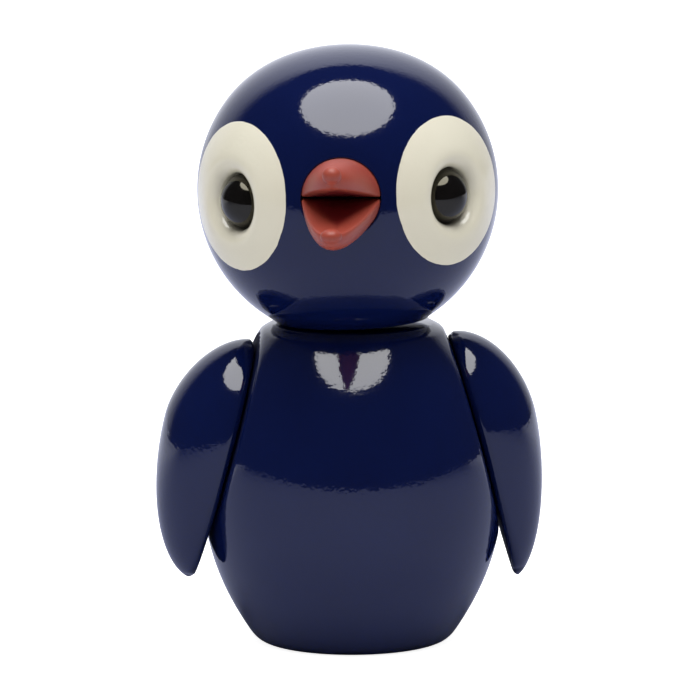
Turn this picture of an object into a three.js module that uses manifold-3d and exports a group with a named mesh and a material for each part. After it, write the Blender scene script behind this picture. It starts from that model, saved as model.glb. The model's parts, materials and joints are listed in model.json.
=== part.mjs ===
// Turned wooden bird figurine with a head that turns and two wings that swing.
// Millimetres, +Z up. It stands on Z = 0, the body faces -Y and its left side is +X.

import * as THREE from "three";
import { mergeVertices } from "three/addons/utils/BufferGeometryUtils.js";
import Module from "manifold-3d";

const wasm = await Module();
wasm.setup();

// Clearances
const SEAT_GAP = 0.3; // head over the top of the body
const WING_GAP = 0.4; // flat of a wing off the side of the body
const TURNING_CLEARANCE = 0.25; // all round a dowel that turns in its hole
const GLUE_CLEARANCE = 0.2; // all round a piece that is glued in
const HOLE_END_CLEARANCE = 0.3; // end of a piece to the bottom of its hole
const JAW_GAP = 0.3; // between the two jaws where they meet in the socket

// Body, a barrel that narrows from the belly down to the foot and up to the shoulder
const BELLY_RADIUS = 30.2;
const BELLY_HEIGHT = 32;
const FOOT_NARROWING = 11.05; // belly radius less the radius that the side would have at the floor
const FOOT_CURVE = 2.18; // 1 is a straight cone, 2 a parabola
const FOOT_ROUNDING_HEIGHT = 2.2;
const FOOT_FLAT_RADIUS = 17.4;
const SHOULDER_HEIGHT = 62.5;
const SHOULDER_TO_TOP = 1.7;
const BODY_HEIGHT = SHOULDER_HEIGHT + SHOULDER_TO_TOP;
const SHOULDER_NARROWING = 11.42;
const SHOULDER_CURVE = 2.3;
const SHOULDER_ROUNDING_HEIGHT = 0.9; // how far the side runs on before it turns in
const NECK_FLAT_RADIUS = 16.1;
const SIDE_FLAT_DEPTH = 5.15; // of the flats that are cut into the sides for the wings

// Head, a ball with a slightly flattened crown and a flat seat below
const HEAD_RADIUS = 30;
const HEAD_SEAT_DROP = 26.1; // ball centre down to the flat seat
const HEAD_SEAT_EDGE = 0.5; // softened edge of the seat
const CROWN_FLATTENING = 1.2;
const CROWN_SPREAD_DEG = 52;
const HEAD_TURN_DEG = -7; // how the head stands at rest
const NECK_LEAN_DEG = 1.7; // the neck leans to the bird's right

// Neck dowel
const NECK_DOWEL_RADIUS = 6;
const NECK_DOWEL_CHAMFER = 0.8;
const NECK_HOLE_IN_BODY = 16;
const NECK_HOLE_IN_HEAD = 14;

// Eyes, beads in dished places on either side of the beak
const EYE_SPREAD_DEG = 50.5; // from straight ahead
const EYE_RISE_DEG = 1;
const EYE_RADIUS = 5.6;
const EYE_CENTRE = 24.4; // from the middle of the head
const DISH_RADIUS = 23.8;
const DISH_CENTRE = 50.6; // from the middle of the head

// Beak, two skewed cones on one round root
const BEAK_RISE_DEG = 4.5;
const BEAK_ROLL_DEG = 1.7; // sits level on the leaning head
const BEAK_RADIUS = 7.7;
const BEAK_SOCKET_FLOOR = 25.6; // from the middle of the head
const BEAK_ROOT = 28.9; // where the cones begin, from the middle of the head
const BEAK_SIDE_LEAN = -0.045; // tips lean to the bird's right
const MOUTH_DEPTH = 28; // where the mouth begins, from the middle of the head
const UPPER_JAW = {
  tip: 48.5, // from the middle of the head
  tipRise: 4.8,
  rootPullOut: 6.4,
  rootPullAhead: 35.6,
  tipWidth: 3.6,
  mouthSlopeDeg: 7.8,
  nubRadius: 1.9,
  nubSquash: 0.9,
  nubReach: 47.9,
  nubRise: 5.6,
};
const LOWER_JAW = {
  tip: 50.5,
  tipRise: -6.7,
  rootPullOut: 6.6,
  rootPullAhead: 36.2,
  tipWidth: 4,
  mouthSlopeDeg: -14.6,
  nubRadius: 2.1,
  nubSquash: 0.7,
  nubReach: 49.6,
  nubRise: -6.1,
};

// Wings, each a slice of a turned egg split along its length, the two a little different
const WING_LEAN_DEG = 15; // from the vertical
const WING_SPLIT = 1.2; // axis of the egg behind the flat
const WING_RIM = 1.4; // rounding where the dome meets the flat
const WING_RIM_SHARE = 0.45; // most of the thickness that the rounding takes near the ends
const WING_END_LIFT = 1.1; // of the ends off the flat
const WING_END_ROUNDING = 1.6; // length over which the ends lift
const LEFT_WING = {
  topHeight: 61.8,
  length: 51.8,
  widest: 19, // below the top end
  thickness: 12.9,
  topCurve: 1.93, // 2 is an ellipse, less is sharper
  tipCurve: 1.62,
};
const RIGHT_WING = {
  topHeight: 60.9,
  length: 49.9,
  widest: 18.8,
  thickness: 13.7,
  topCurve: 1.77,
  tipCurve: 1.87,
};

// Wing pegs
const WING_PEG_RADIUS = 3;
const WING_PEG_CHAMFER = 0.4;
const WING_PEG_DROP = 14; // below the top end of the wing
const WING_PEG_IN_WING = 7;
const WING_PEG_IN_BODY = 12;

// Fineness of the curved surfaces
const BODY_FACETS = 44;
const HEAD_FACETS = 44;
const WING_FACETS = 20;
const DOWEL_FACETS = 24;
const PEG_FACETS = 16;
const BEAD_FACETS = 20;
const DISH_FACETS = 44;
const JAW_FACETS = 28;
const NUB_FACETS = 12;
const EDGE_STEPS = 4;
const SIDE_STEPS = 16;
const CONE_STEPS = 8;
const HEAD_STEPS = 20;
const WING_STEPS = 10;
const RIM_STEPS = 4;
const SLOPE_STEP = 0.01;
const MERGE_DISTANCE = 1e-5;

// Reach of a cutter past the surface that it opens
const CUT_PAST = 5;
const BIG = 100;

// Finishes
const NAVY_LACQUER = { color: 0x16203f, roughness: 0.15, metalness: 0 };
const RED_PAINT = { color: 0xa84a3c, roughness: 0.45, metalness: 0 };
const BLACK_BEAD = { color: 0x0c0b0c, roughness: 0.08, metalness: 0 };
const BARE_BEECH = { color: 0xd2ad80, roughness: 0.6, metalness: 0 };

const radians = THREE.MathUtils.degToRad;

// Solids from geometry and back
function solidOf(geometry) {
  const bare = geometry.clone();
  bare.deleteAttribute("normal");
  bare.deleteAttribute("uv");
  const merged = mergeVertices(bare, MERGE_DISTANCE);
  const mesh = new wasm.Mesh({
    numProp: 3,
    vertProperties: new Float32Array(merged.attributes.position.array),
    triVerts: new Uint32Array(merged.index.array),
  });
  return new wasm.Manifold(mesh);
}

function geometryOf(solid) {
  const mesh = solid.getMesh();
  const geometry = new THREE.BufferGeometry();
  geometry.setAttribute("position", new THREE.BufferAttribute(new Float32Array(mesh.vertProperties), 3));
  geometry.setIndex(new THREE.BufferAttribute(new Uint32Array(mesh.triVerts), 1));
  geometry.computeVertexNormals();
  return geometry;
}

// A turned piece about +Z from its outline of radius and height, listed from the bottom up
function turned(outline, facets) {
  const points = outline.map(([radius, height]) => new THREE.Vector2(radius, height));
  return new THREE.LatheGeometry(points, facets).rotateX(Math.PI / 2);
}

// A dowel along +Z from one height to another
function dowel(radius, from, to, chamfer, facets) {
  const outline = [
    [0, from],
    [radius - chamfer, from],
    [radius, from + chamfer],
    [radius, to - chamfer],
    [radius - chamfer, to],
    [0, to],
  ];
  return turned(outline, facets);
}

// A round hole along +Z from one height to another
function hole(radius, from, to, facets) {
  const outline = [
    [0, from],
    [radius, from],
    [radius, to],
    [0, to],
  ];
  return turned(outline, facets);
}

// Turns +Z onto a direction
function aim(geometry, direction) {
  const turn = new THREE.Quaternion().setFromUnitVectors(new THREE.Vector3(0, 0, 1), direction);
  return geometry.applyQuaternion(turn);
}

// A direction out of the head, measured from straight ahead and up from level
function headDirection(sideDeg, riseDeg) {
  const side = radians(sideDeg);
  const rise = radians(riseDeg);
  return new THREE.Vector3(
    Math.sin(side) * Math.cos(rise),
    -Math.cos(side) * Math.cos(rise),
    Math.sin(rise),
  );
}

// Body
function bodySide(height) {
  const below = height < BELLY_HEIGHT;
  const span = below ? BELLY_HEIGHT : SHOULDER_HEIGHT - BELLY_HEIGHT;
  const share = Math.abs(height - BELLY_HEIGHT) / span;
  const narrowing = below ? FOOT_NARROWING : SHOULDER_NARROWING;
  const curve = below ? FOOT_CURVE : SHOULDER_CURVE;
  return BELLY_RADIUS - narrowing * share ** curve;
}

// How much the radius grows per millimetre of height
function bodySlope(height) {
  return (bodySide(height + SLOPE_STEP) - bodySide(height - SLOPE_STEP)) / (2 * SLOPE_STEP);
}

function bodyOutline() {
  const outline = new THREE.Path();
  outline.moveTo(0, 0);
  outline.lineTo(FOOT_FLAT_RADIUS, 0);
  const footRadius = bodySide(FOOT_ROUNDING_HEIGHT);
  const footCorner = footRadius - FOOT_ROUNDING_HEIGHT * bodySlope(FOOT_ROUNDING_HEIGHT);
  outline.quadraticCurveTo(footCorner, 0, footRadius, FOOT_ROUNDING_HEIGHT);
  const points = outline.getPoints(EDGE_STEPS).map((point) => [point.x, point.y]);
  for (let step = 1; step <= SIDE_STEPS; step += 1) {
    const height = FOOT_ROUNDING_HEIGHT + ((SHOULDER_HEIGHT - FOOT_ROUNDING_HEIGHT) * step) / SIDE_STEPS;
    points.push([bodySide(height), height]);
  }
  const shoulderRadius = bodySide(SHOULDER_HEIGHT);
  const shoulder = new THREE.QuadraticBezierCurve(
    new THREE.Vector2(shoulderRadius, SHOULDER_HEIGHT),
    new THREE.Vector2(
      shoulderRadius + SHOULDER_ROUNDING_HEIGHT * bodySlope(SHOULDER_HEIGHT),
      SHOULDER_HEIGHT + SHOULDER_ROUNDING_HEIGHT,
    ),
    new THREE.Vector2(NECK_FLAT_RADIUS, BODY_HEIGHT),
  );
  const rounding = shoulder.getPoints(EDGE_STEPS).map((point) => [point.x, point.y]);
  return points.concat(rounding.slice(1), [[0, BODY_HEIGHT]]);
}

// Where a wing hangs: its flat lies just off the leaning flat in the side of the body
function wingPlace(wing) {
  const lean = radians(WING_LEAN_DEG);
  const reaches = bodyOutline().map(([radius, height]) => radius * Math.cos(lean) + height * Math.sin(lean));
  const reach = Math.max(...reaches) - SIDE_FLAT_DEPTH + WING_GAP;
  const topOut = (reach - wing.topHeight * Math.sin(lean)) / Math.cos(lean);
  return {
    lean,
    pivot: new THREE.Vector3(
      topOut + WING_PEG_DROP * Math.sin(lean),
      0,
      wing.topHeight - WING_PEG_DROP * Math.cos(lean),
    ),
  };
}

// From a wing's own axes, +X out of the body and +Z up its length, to its place on one side
function hang(geometry, wing, sideTurn) {
  const { lean, pivot } = wingPlace(wing);
  return geometry.rotateY(-lean).translate(pivot.x, pivot.y, pivot.z).rotateZ(sideTurn);
}

function bodyGeometry(sides) {
  const neckHole = hole(NECK_DOWEL_RADIUS + GLUE_CLEARANCE, -NECK_HOLE_IN_BODY, CUT_PAST, DOWEL_FACETS);
  let solid = solidOf(turned(bodyOutline(), BODY_FACETS)).subtract(solidOf(leanNeck(neckHole)));
  for (const { wing, sideTurn } of sides) {
    const sideCut = new THREE.BoxGeometry(BIG, 2 * BIG, 2 * BIG).translate(BIG / 2 - WING_GAP, 0, 0);
    const pegHole = hole(WING_PEG_RADIUS + TURNING_CLEARANCE, -WING_PEG_IN_BODY, CUT_PAST, PEG_FACETS);
    solid = solid.subtract(solidOf(hang(sideCut, wing, sideTurn)));
    solid = solid.subtract(solidOf(hang(pegHole.rotateY(Math.PI / 2), wing, sideTurn)));
  }
  return geometryOf(solid);
}

function neckDowelGeometry() {
  const pin = dowel(
    NECK_DOWEL_RADIUS,
    HOLE_END_CLEARANCE - NECK_HOLE_IN_BODY,
    headSeatLift() + NECK_HOLE_IN_HEAD - HOLE_END_CLEARANCE,
    NECK_DOWEL_CHAMFER,
    DOWEL_FACETS,
  );
  return leanNeck(pin);
}

// Head and the pieces on it are made about the middle of the ball, then turned and put on the neck
function settleHead(geometry) {
  const lift = headSeatLift() + HEAD_SEAT_DROP;
  return leanNeck(geometry.rotateZ(radians(HEAD_TURN_DEG)).translate(0, 0, lift));
}

// From the neck's own axes, with the origin at the middle of the body's top, to its lean on the body
function leanNeck(geometry) {
  return geometry.rotateY(-radians(NECK_LEAN_DEG)).translate(0, 0, BODY_HEIGHT);
}

function headSeatRadius() {
  return Math.sqrt(HEAD_RADIUS ** 2 - HEAD_SEAT_DROP ** 2) - HEAD_SEAT_EDGE;
}

// How far the seat stands off the body on the neck's line, so that its low edge keeps the gap
function headSeatLift() {
  return SEAT_GAP + headSeatRadius() * Math.tan(radians(NECK_LEAN_DEG));
}

function headOutline() {
  const spread = radians(CROWN_SPREAD_DEG);
  const firstAngle = Math.acos((HEAD_SEAT_DROP - HEAD_SEAT_EDGE) / HEAD_RADIUS);
  const outline = [
    [0, -HEAD_SEAT_DROP],
    [headSeatRadius(), -HEAD_SEAT_DROP],
  ];
  for (let step = 0; step <= HEAD_STEPS; step += 1) {
    const angle = firstAngle + ((Math.PI - firstAngle) * step) / HEAD_STEPS;
    const fromCrown = Math.min(Math.PI - angle, spread);
    const flattening = CROWN_FLATTENING * Math.cos((fromCrown / spread) * (Math.PI / 2)) ** 2;
    const radius = HEAD_RADIUS - flattening;
    const across = step === HEAD_STEPS ? 0 : radius * Math.sin(angle);
    outline.push([across, -radius * Math.cos(angle)]);
  }
  return outline;
}

function eyeCutter(direction) {
  const radius = EYE_RADIUS + GLUE_CLEARANCE;
  const dish = new THREE.SphereGeometry(DISH_RADIUS, DISH_FACETS, DISH_FACETS / 2);
  dish.rotateX(Math.PI / 2).translate(0, 0, DISH_CENTRE);
  const seat = new THREE.SphereGeometry(radius, BEAD_FACETS, BEAD_FACETS / 2);
  seat.rotateX(Math.PI / 2).translate(0, 0, EYE_CENTRE);
  const entry = hole(radius, EYE_CENTRE, DISH_CENTRE, BEAD_FACETS);
  const cutter = solidOf(dish).add(solidOf(seat)).add(solidOf(entry));
  return solidOf(aim(geometryOf(cutter), direction));
}

function headGeometry(sides) {
  const neckHole = hole(
    NECK_DOWEL_RADIUS + TURNING_CLEARANCE,
    -HEAD_SEAT_DROP - CUT_PAST,
    NECK_HOLE_IN_HEAD - HEAD_SEAT_DROP,
    DOWEL_FACETS,
  );
  const socket = hole(BEAK_RADIUS + GLUE_CLEARANCE, BEAK_SOCKET_FLOOR, HEAD_RADIUS + CUT_PAST, JAW_FACETS);
  let solid = solidOf(turned(headOutline(), HEAD_FACETS)).subtract(solidOf(neckHole));
  solid = solid.subtract(solidOf(aimBeak(socket.rotateX(Math.PI / 2))));
  for (const { eyeSide } of sides) {
    solid = solid.subtract(eyeCutter(headDirection(eyeSide * EYE_SPREAD_DEG, EYE_RISE_DEG)));
  }
  return settleHead(geometryOf(solid));
}

function eyeGeometry(eyeSide) {
  const bead = new THREE.SphereGeometry(EYE_RADIUS, BEAD_FACETS, BEAD_FACETS / 2);
  bead.rotateX(Math.PI / 2).translate(0, 0, EYE_CENTRE);
  const direction = headDirection(eyeSide * EYE_SPREAD_DEG, EYE_RISE_DEG);
  return settleHead(aim(geometryOf(solidOf(bead)), direction));
}

// From the beak's own axes, -Y forward out of the head, to its rise on the head
function aimBeak(geometry) {
  return geometry.rotateY(radians(BEAK_ROLL_DEG)).rotateX(-radians(BEAK_RISE_DEG));
}

// The room that one jaw may fill, once the mouth and the other jaw are taken away
function jawRoom(jaw) {
  const side = Math.sign(jaw.tipRise);
  const start = side * (JAW_GAP / 2);
  const rise = (BIG - MOUTH_DEPTH) * Math.tan(radians(jaw.mouthSlopeDeg));
  const room = new THREE.Shape();
  room.moveTo(0, start);
  room.lineTo(MOUTH_DEPTH, start);
  room.lineTo(BIG, start + rise);
  room.lineTo(BIG, side * BIG);
  room.lineTo(0, side * BIG);
  const slab = new THREE.ExtrudeGeometry(room, { depth: 2 * BIG, bevelEnabled: false });
  const forward = new THREE.Vector3(0, -1, 0);
  const up = new THREE.Vector3(0, 0, 1);
  const across = new THREE.Vector3().crossVectors(forward, up);
  return slab.translate(0, 0, -BIG).applyMatrix4(new THREE.Matrix4().makeBasis(forward, up, across));
}

// The whole cone that a jaw is cut from, turned about the beak's middle line
function jawOutline(jaw) {
  const cone = new THREE.CubicBezierCurve(
    new THREE.Vector2(BEAK_RADIUS, BEAK_ROOT),
    new THREE.Vector2(jaw.rootPullOut, jaw.rootPullAhead),
    new THREE.Vector2(jaw.tipWidth, jaw.tip),
    new THREE.Vector2(0, jaw.tip),
  );
  const root = BEAK_SOCKET_FLOOR + HOLE_END_CLEARANCE;
  const outline = [
    [0, root],
    [BEAK_RADIUS, root],
  ];
  return outline.concat(cone.getPoints(CONE_STEPS).map((point) => [point.x, point.y]));
}

// Leans what stands out of the socket towards the jaw's tip
function skewJaw(geometry, jaw) {
  const slope = jaw.tipRise / (jaw.tip - BEAK_ROOT);
  const position = geometry.attributes.position;
  for (let index = 0; index < position.count; index += 1) {
    const ahead = Math.max(0, -position.getY(index) - BEAK_ROOT);
    position.setX(index, position.getX(index) + BEAK_SIDE_LEAN * ahead);
    position.setZ(index, position.getZ(index) + slope * ahead);
  }
  return geometry;
}

function jawGeometry(jaw) {
  const cone = skewJaw(turned(jawOutline(jaw), JAW_FACETS).rotateX(Math.PI / 2), jaw);
  const nub = new THREE.SphereGeometry(jaw.nubRadius, NUB_FACETS, NUB_FACETS / 2);
  nub.scale(1, 1, jaw.nubSquash);
  nub.translate(BEAK_SIDE_LEAN * (jaw.nubReach - BEAK_ROOT), -jaw.nubReach, jaw.nubRise);
  const solid = solidOf(cone).intersect(solidOf(jawRoom(jaw))).add(solidOf(nub));
  return settleHead(aimBeak(geometryOf(solid)));
}

// Wings
function wingRise(wing, share, curve) {
  return wing.thickness * Math.max(0, 1 - share ** curve) ** (1 / curve);
}

// How far the dome stands off the flat, and at which height, from the tip to the top end
function wingOutline(wing) {
  const outline = [];
  for (let step = 0; step < WING_STEPS; step += 1) {
    const share = Math.cos(((Math.PI / 2) * step) / WING_STEPS);
    const below = wing.widest + (wing.length - wing.widest) * share;
    outline.push([wingRise(wing, share, wing.tipCurve), WING_PEG_DROP - below]);
  }
  for (let step = 0; step <= WING_STEPS; step += 1) {
    const share = Math.sin(((Math.PI / 2) * step) / WING_STEPS);
    outline.push([wingRise(wing, share, wing.topCurve), WING_PEG_DROP - wing.widest * (1 - share)]);
  }
  return outline;
}

// A slice of a disc with a rounded rim, as points out of the body and across, once round from the front
function wingSection(rise) {
  const radius = rise + WING_SPLIT;
  const rim = Math.min(WING_RIM, WING_RIM_SHARE * rise);
  const rimSide = Math.sqrt((radius - rim) ** 2 - (rim + WING_SPLIT) ** 2);
  const domeEnd = Math.atan2(rimSide, rim + WING_SPLIT);
  const section = new THREE.Path();
  section.absarc(rim, -rimSide, rim, Math.PI, 2 * Math.PI - domeEnd);
  const frontRim = section.getPoints(RIM_STEPS).map((point) => [point.x, point.y]);
  const dome = [];
  for (let step = 1; step < WING_FACETS; step += 1) {
    const turn = domeEnd * ((2 * step) / WING_FACETS - 1);
    dome.push([radius * Math.cos(turn) - WING_SPLIT, radius * Math.sin(turn)]);
  }
  const backRim = frontRim.map(([out, across]) => [out, -across]).reverse();
  return [...frontRim, ...dome, ...backRim];
}

// A closed body through rings of points, with a single point at either end
function lofted(rings, firstEnd, lastEnd) {
  const count = rings[0].length;
  const points = [...rings.flat(), firstEnd, lastEnd];
  const first = points.length - 2;
  const last = points.length - 1;
  const faces = [];
  for (let at = 0; at < count; at += 1) {
    const next = (at + 1) % count;
    const top = (rings.length - 1) * count;
    faces.push(first, next, at);
    faces.push(last, top + at, top + next);
    for (let low = 0; low < top; low += count) {
      faces.push(low + at, low + next, low + count + next);
      faces.push(low + at, low + count + next, low + count + at);
    }
  }
  const geometry = new THREE.BufferGeometry();
  geometry.setAttribute("position", new THREE.Float32BufferAttribute(points.flat(), 3));
  geometry.setIndex(faces);
  return geometry;
}

// One ring of the wing, drawn in and off the flat where the ends are blunted
function wingRing(wing, rise, height) {
  const toEnd = Math.min(WING_PEG_DROP - height, wing.length - WING_PEG_DROP + height);
  const lift = WING_END_LIFT * Math.max(0, 1 - toEnd / WING_END_ROUNDING) ** 2;
  const share = 1 - lift / Math.max(rise, lift);
  return wingSection(rise).map(([out, across]) => [lift + share * out, share * across, height]);
}

function wingGeometry(wing, sideTurn) {
  const outline = wingOutline(wing);
  const rings = outline.slice(1, -1).map(([rise, height]) => wingRing(wing, rise, height));
  const [tip, top] = [outline[0], outline.at(-1)].map(([, height]) => [WING_END_LIFT, 0, height]);
  const pegHole = hole(WING_PEG_RADIUS + GLUE_CLEARANCE, -CUT_PAST, WING_PEG_IN_WING, PEG_FACETS);
  const solid = solidOf(lofted(rings, tip, top)).subtract(solidOf(pegHole.rotateY(Math.PI / 2)));
  return hang(geometryOf(solid), wing, sideTurn);
}

function wingPegGeometry(wing, sideTurn) {
  const peg = dowel(
    WING_PEG_RADIUS,
    HOLE_END_CLEARANCE - WING_PEG_IN_BODY,
    WING_PEG_IN_WING - HOLE_END_CLEARANCE,
    WING_PEG_CHAMFER,
    PEG_FACETS,
  );
  return hang(peg.rotateY(Math.PI / 2), wing, sideTurn);
}

// Whole bird
const SIDES = [
  { name: "left", eyeSide: 1, wing: LEFT_WING, sideTurn: 0 },
  { name: "right", eyeSide: -1, wing: RIGHT_WING, sideTurn: Math.PI },
];

function addPiece(group, name, geometry, finish) {
  const mesh = new THREE.Mesh(geometry, new THREE.MeshStandardMaterial(finish));
  mesh.name = name;
  group.add(mesh);
}

function buildBird() {
  const bird = new THREE.Group();
  bird.name = "turned_bird";
  addPiece(bird, "body", bodyGeometry(SIDES), NAVY_LACQUER);
  addPiece(bird, "neck_dowel", neckDowelGeometry(), BARE_BEECH);
  addPiece(bird, "head", headGeometry(SIDES), NAVY_LACQUER);
  addPiece(bird, "upper_beak", jawGeometry(UPPER_JAW), RED_PAINT);
  addPiece(bird, "lower_beak", jawGeometry(LOWER_JAW), RED_PAINT);
  for (const { name, eyeSide, wing, sideTurn } of SIDES) {
    addPiece(bird, `${name}_eye`, eyeGeometry(eyeSide), BLACK_BEAD);
    addPiece(bird, `${name}_wing`, wingGeometry(wing, sideTurn), NAVY_LACQUER);
    addPiece(bird, `${name}_wing_peg`, wingPegGeometry(wing, sideTurn), BARE_BEECH);
  }
  return bird;
}

export default buildBird();
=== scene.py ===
"""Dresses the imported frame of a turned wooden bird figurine.

Body, head and wings are turned wood under navy gloss lacquer. The eyes are polished beads in cream
painted hollows, the beak is satin enamel, and bare beech dowels join the pieces. Sizes are in
millimetres, and each mesh is brought to metres when its piece is made.
"""

import json  # noqa: E402
import logging  # noqa: E402
import math  # noqa: E402
from collections.abc import Sequence  # noqa: E402
from dataclasses import dataclass, field  # noqa: E402
from enum import Enum  # noqa: E402

import bmesh  # noqa: E402
import bpy  # noqa: E402
from mathutils import Matrix, Vector  # noqa: E402
from mathutils.geometry import delaunay_2d_cdt  # noqa: E402

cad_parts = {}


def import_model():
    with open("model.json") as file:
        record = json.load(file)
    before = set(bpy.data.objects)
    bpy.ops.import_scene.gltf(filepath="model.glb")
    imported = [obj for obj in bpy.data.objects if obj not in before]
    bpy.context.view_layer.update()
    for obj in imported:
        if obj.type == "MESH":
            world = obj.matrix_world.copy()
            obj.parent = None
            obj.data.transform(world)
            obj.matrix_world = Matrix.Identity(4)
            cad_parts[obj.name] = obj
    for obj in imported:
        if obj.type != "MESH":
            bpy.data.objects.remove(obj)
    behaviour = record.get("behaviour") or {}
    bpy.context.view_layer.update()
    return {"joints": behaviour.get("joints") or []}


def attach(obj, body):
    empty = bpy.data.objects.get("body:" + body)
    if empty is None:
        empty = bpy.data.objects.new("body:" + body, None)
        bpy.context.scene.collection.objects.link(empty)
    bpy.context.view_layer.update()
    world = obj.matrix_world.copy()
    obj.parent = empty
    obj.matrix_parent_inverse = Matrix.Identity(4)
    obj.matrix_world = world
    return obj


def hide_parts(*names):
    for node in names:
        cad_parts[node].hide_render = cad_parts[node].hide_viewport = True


MM = 0.001  # metres in a millimetre
UP = Vector((0.0, 0.0, 1.0))
WHITE = (1.0, 1.0, 1.0, 1.0)
SHARP_EDGE = math.radians(38.0)  # a steeper corner is shaded as an edge
RUBBED_DEPTH = 0.08  # millimetres; a face this near to a sliding plane belongs to it
BORE_RUNOUT = 5.0  # millimetres that a cutter stands out of the wood
BORE_SEGMENTS = 64
SAME_POINT = 1e-9  # closer points of a flat map count as one
LOG = logging.getLogger("turned_bird")

Outline = list[tuple[float, float]]
Colour = tuple[float, float, float, float]


class Rides(Enum):
    """The moving bodies of the frame."""

    TRUNK = "trunk"
    HEAD = "head_group"
    LEFT_WING = "left_wing_group"
    RIGHT_WING = "right_wing_group"


class Slot(Enum):
    """The record's material slots."""

    LACQUER = "navy_lacquer"
    ENAMEL = "red_paint"
    BEAD = "black_bead"
    BEECH = "bare_beech"


def turn(degrees: float, axis: str) -> Matrix:
    """Returns a turn by an angle about X, Y or Z."""
    return Matrix.Rotation(math.radians(degrees), 4, axis)


def heading(side_deg: float, rise_deg: float) -> Vector:
    """Returns the direction that is turned sideways from the front and then raised.

    Args:
        side_deg: Turn from the front, -Y, towards +X.
        rise_deg: Rise above the level.

    Returns:
        The direction, one long.
    """
    side, rise = math.radians(side_deg), math.radians(rise_deg)
    return Vector(
        (math.sin(side) * math.cos(rise), -math.cos(side) * math.cos(rise), math.sin(rise))
    )


def linear(colour: str) -> Colour:
    """Turns an sRGB hex colour into linear light.

    Args:
        colour: Six hex digits after a hash sign.

    Returns:
        Linear red, green, blue and an alpha of one.
    """
    shares = [int(colour[start : start + 2], 16) / 255 for start in (1, 3, 5)]
    light = [s / 12.92 if s <= 0.04045 else ((s + 0.055) / 1.055) ** 2.4 for s in shares]
    return light[0], light[1], light[2], 1.0


def add_node(
    tree: bpy.types.NodeTree,
    kind: str,
    settings: dict[str, object],
    inputs: dict[str | int, object],
) -> bpy.types.Node:
    """Adds a node with its settings, its values and its links.

    Args:
        tree: Tree that takes the node.
        kind: Blender's name of the node type.
        settings: Properties of the node by name.
        inputs: Values by socket name or number; another node's output is linked.

    Returns:
        The new node.
    """
    node = tree.nodes.new(kind)
    for name, value in settings.items():
        setattr(node, name, value)
    for socket, value in inputs.items():
        if isinstance(value, bpy.types.NodeSocket):
            tree.links.new(value, node.inputs[socket])
        else:
            node.inputs[socket].default_value = value
    return node


def empty_material(name: str) -> bpy.types.Material:
    """Makes a material whose node tree holds nothing yet.

    Args:
        name: Name of the material.

    Returns:
        The new material.
    """
    material = bpy.data.materials.new(name)
    material.use_nodes = True
    material.node_tree.nodes.clear()
    return material


@dataclass(frozen=True)
class PaintedPatch:
    """A round patch of paint on the ball of the head."""

    centre: Vector  # middle of the ball, in metres
    ball: float  # radius of the ball, in millimetres
    axis: Vector
    spread_deg: float


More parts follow.
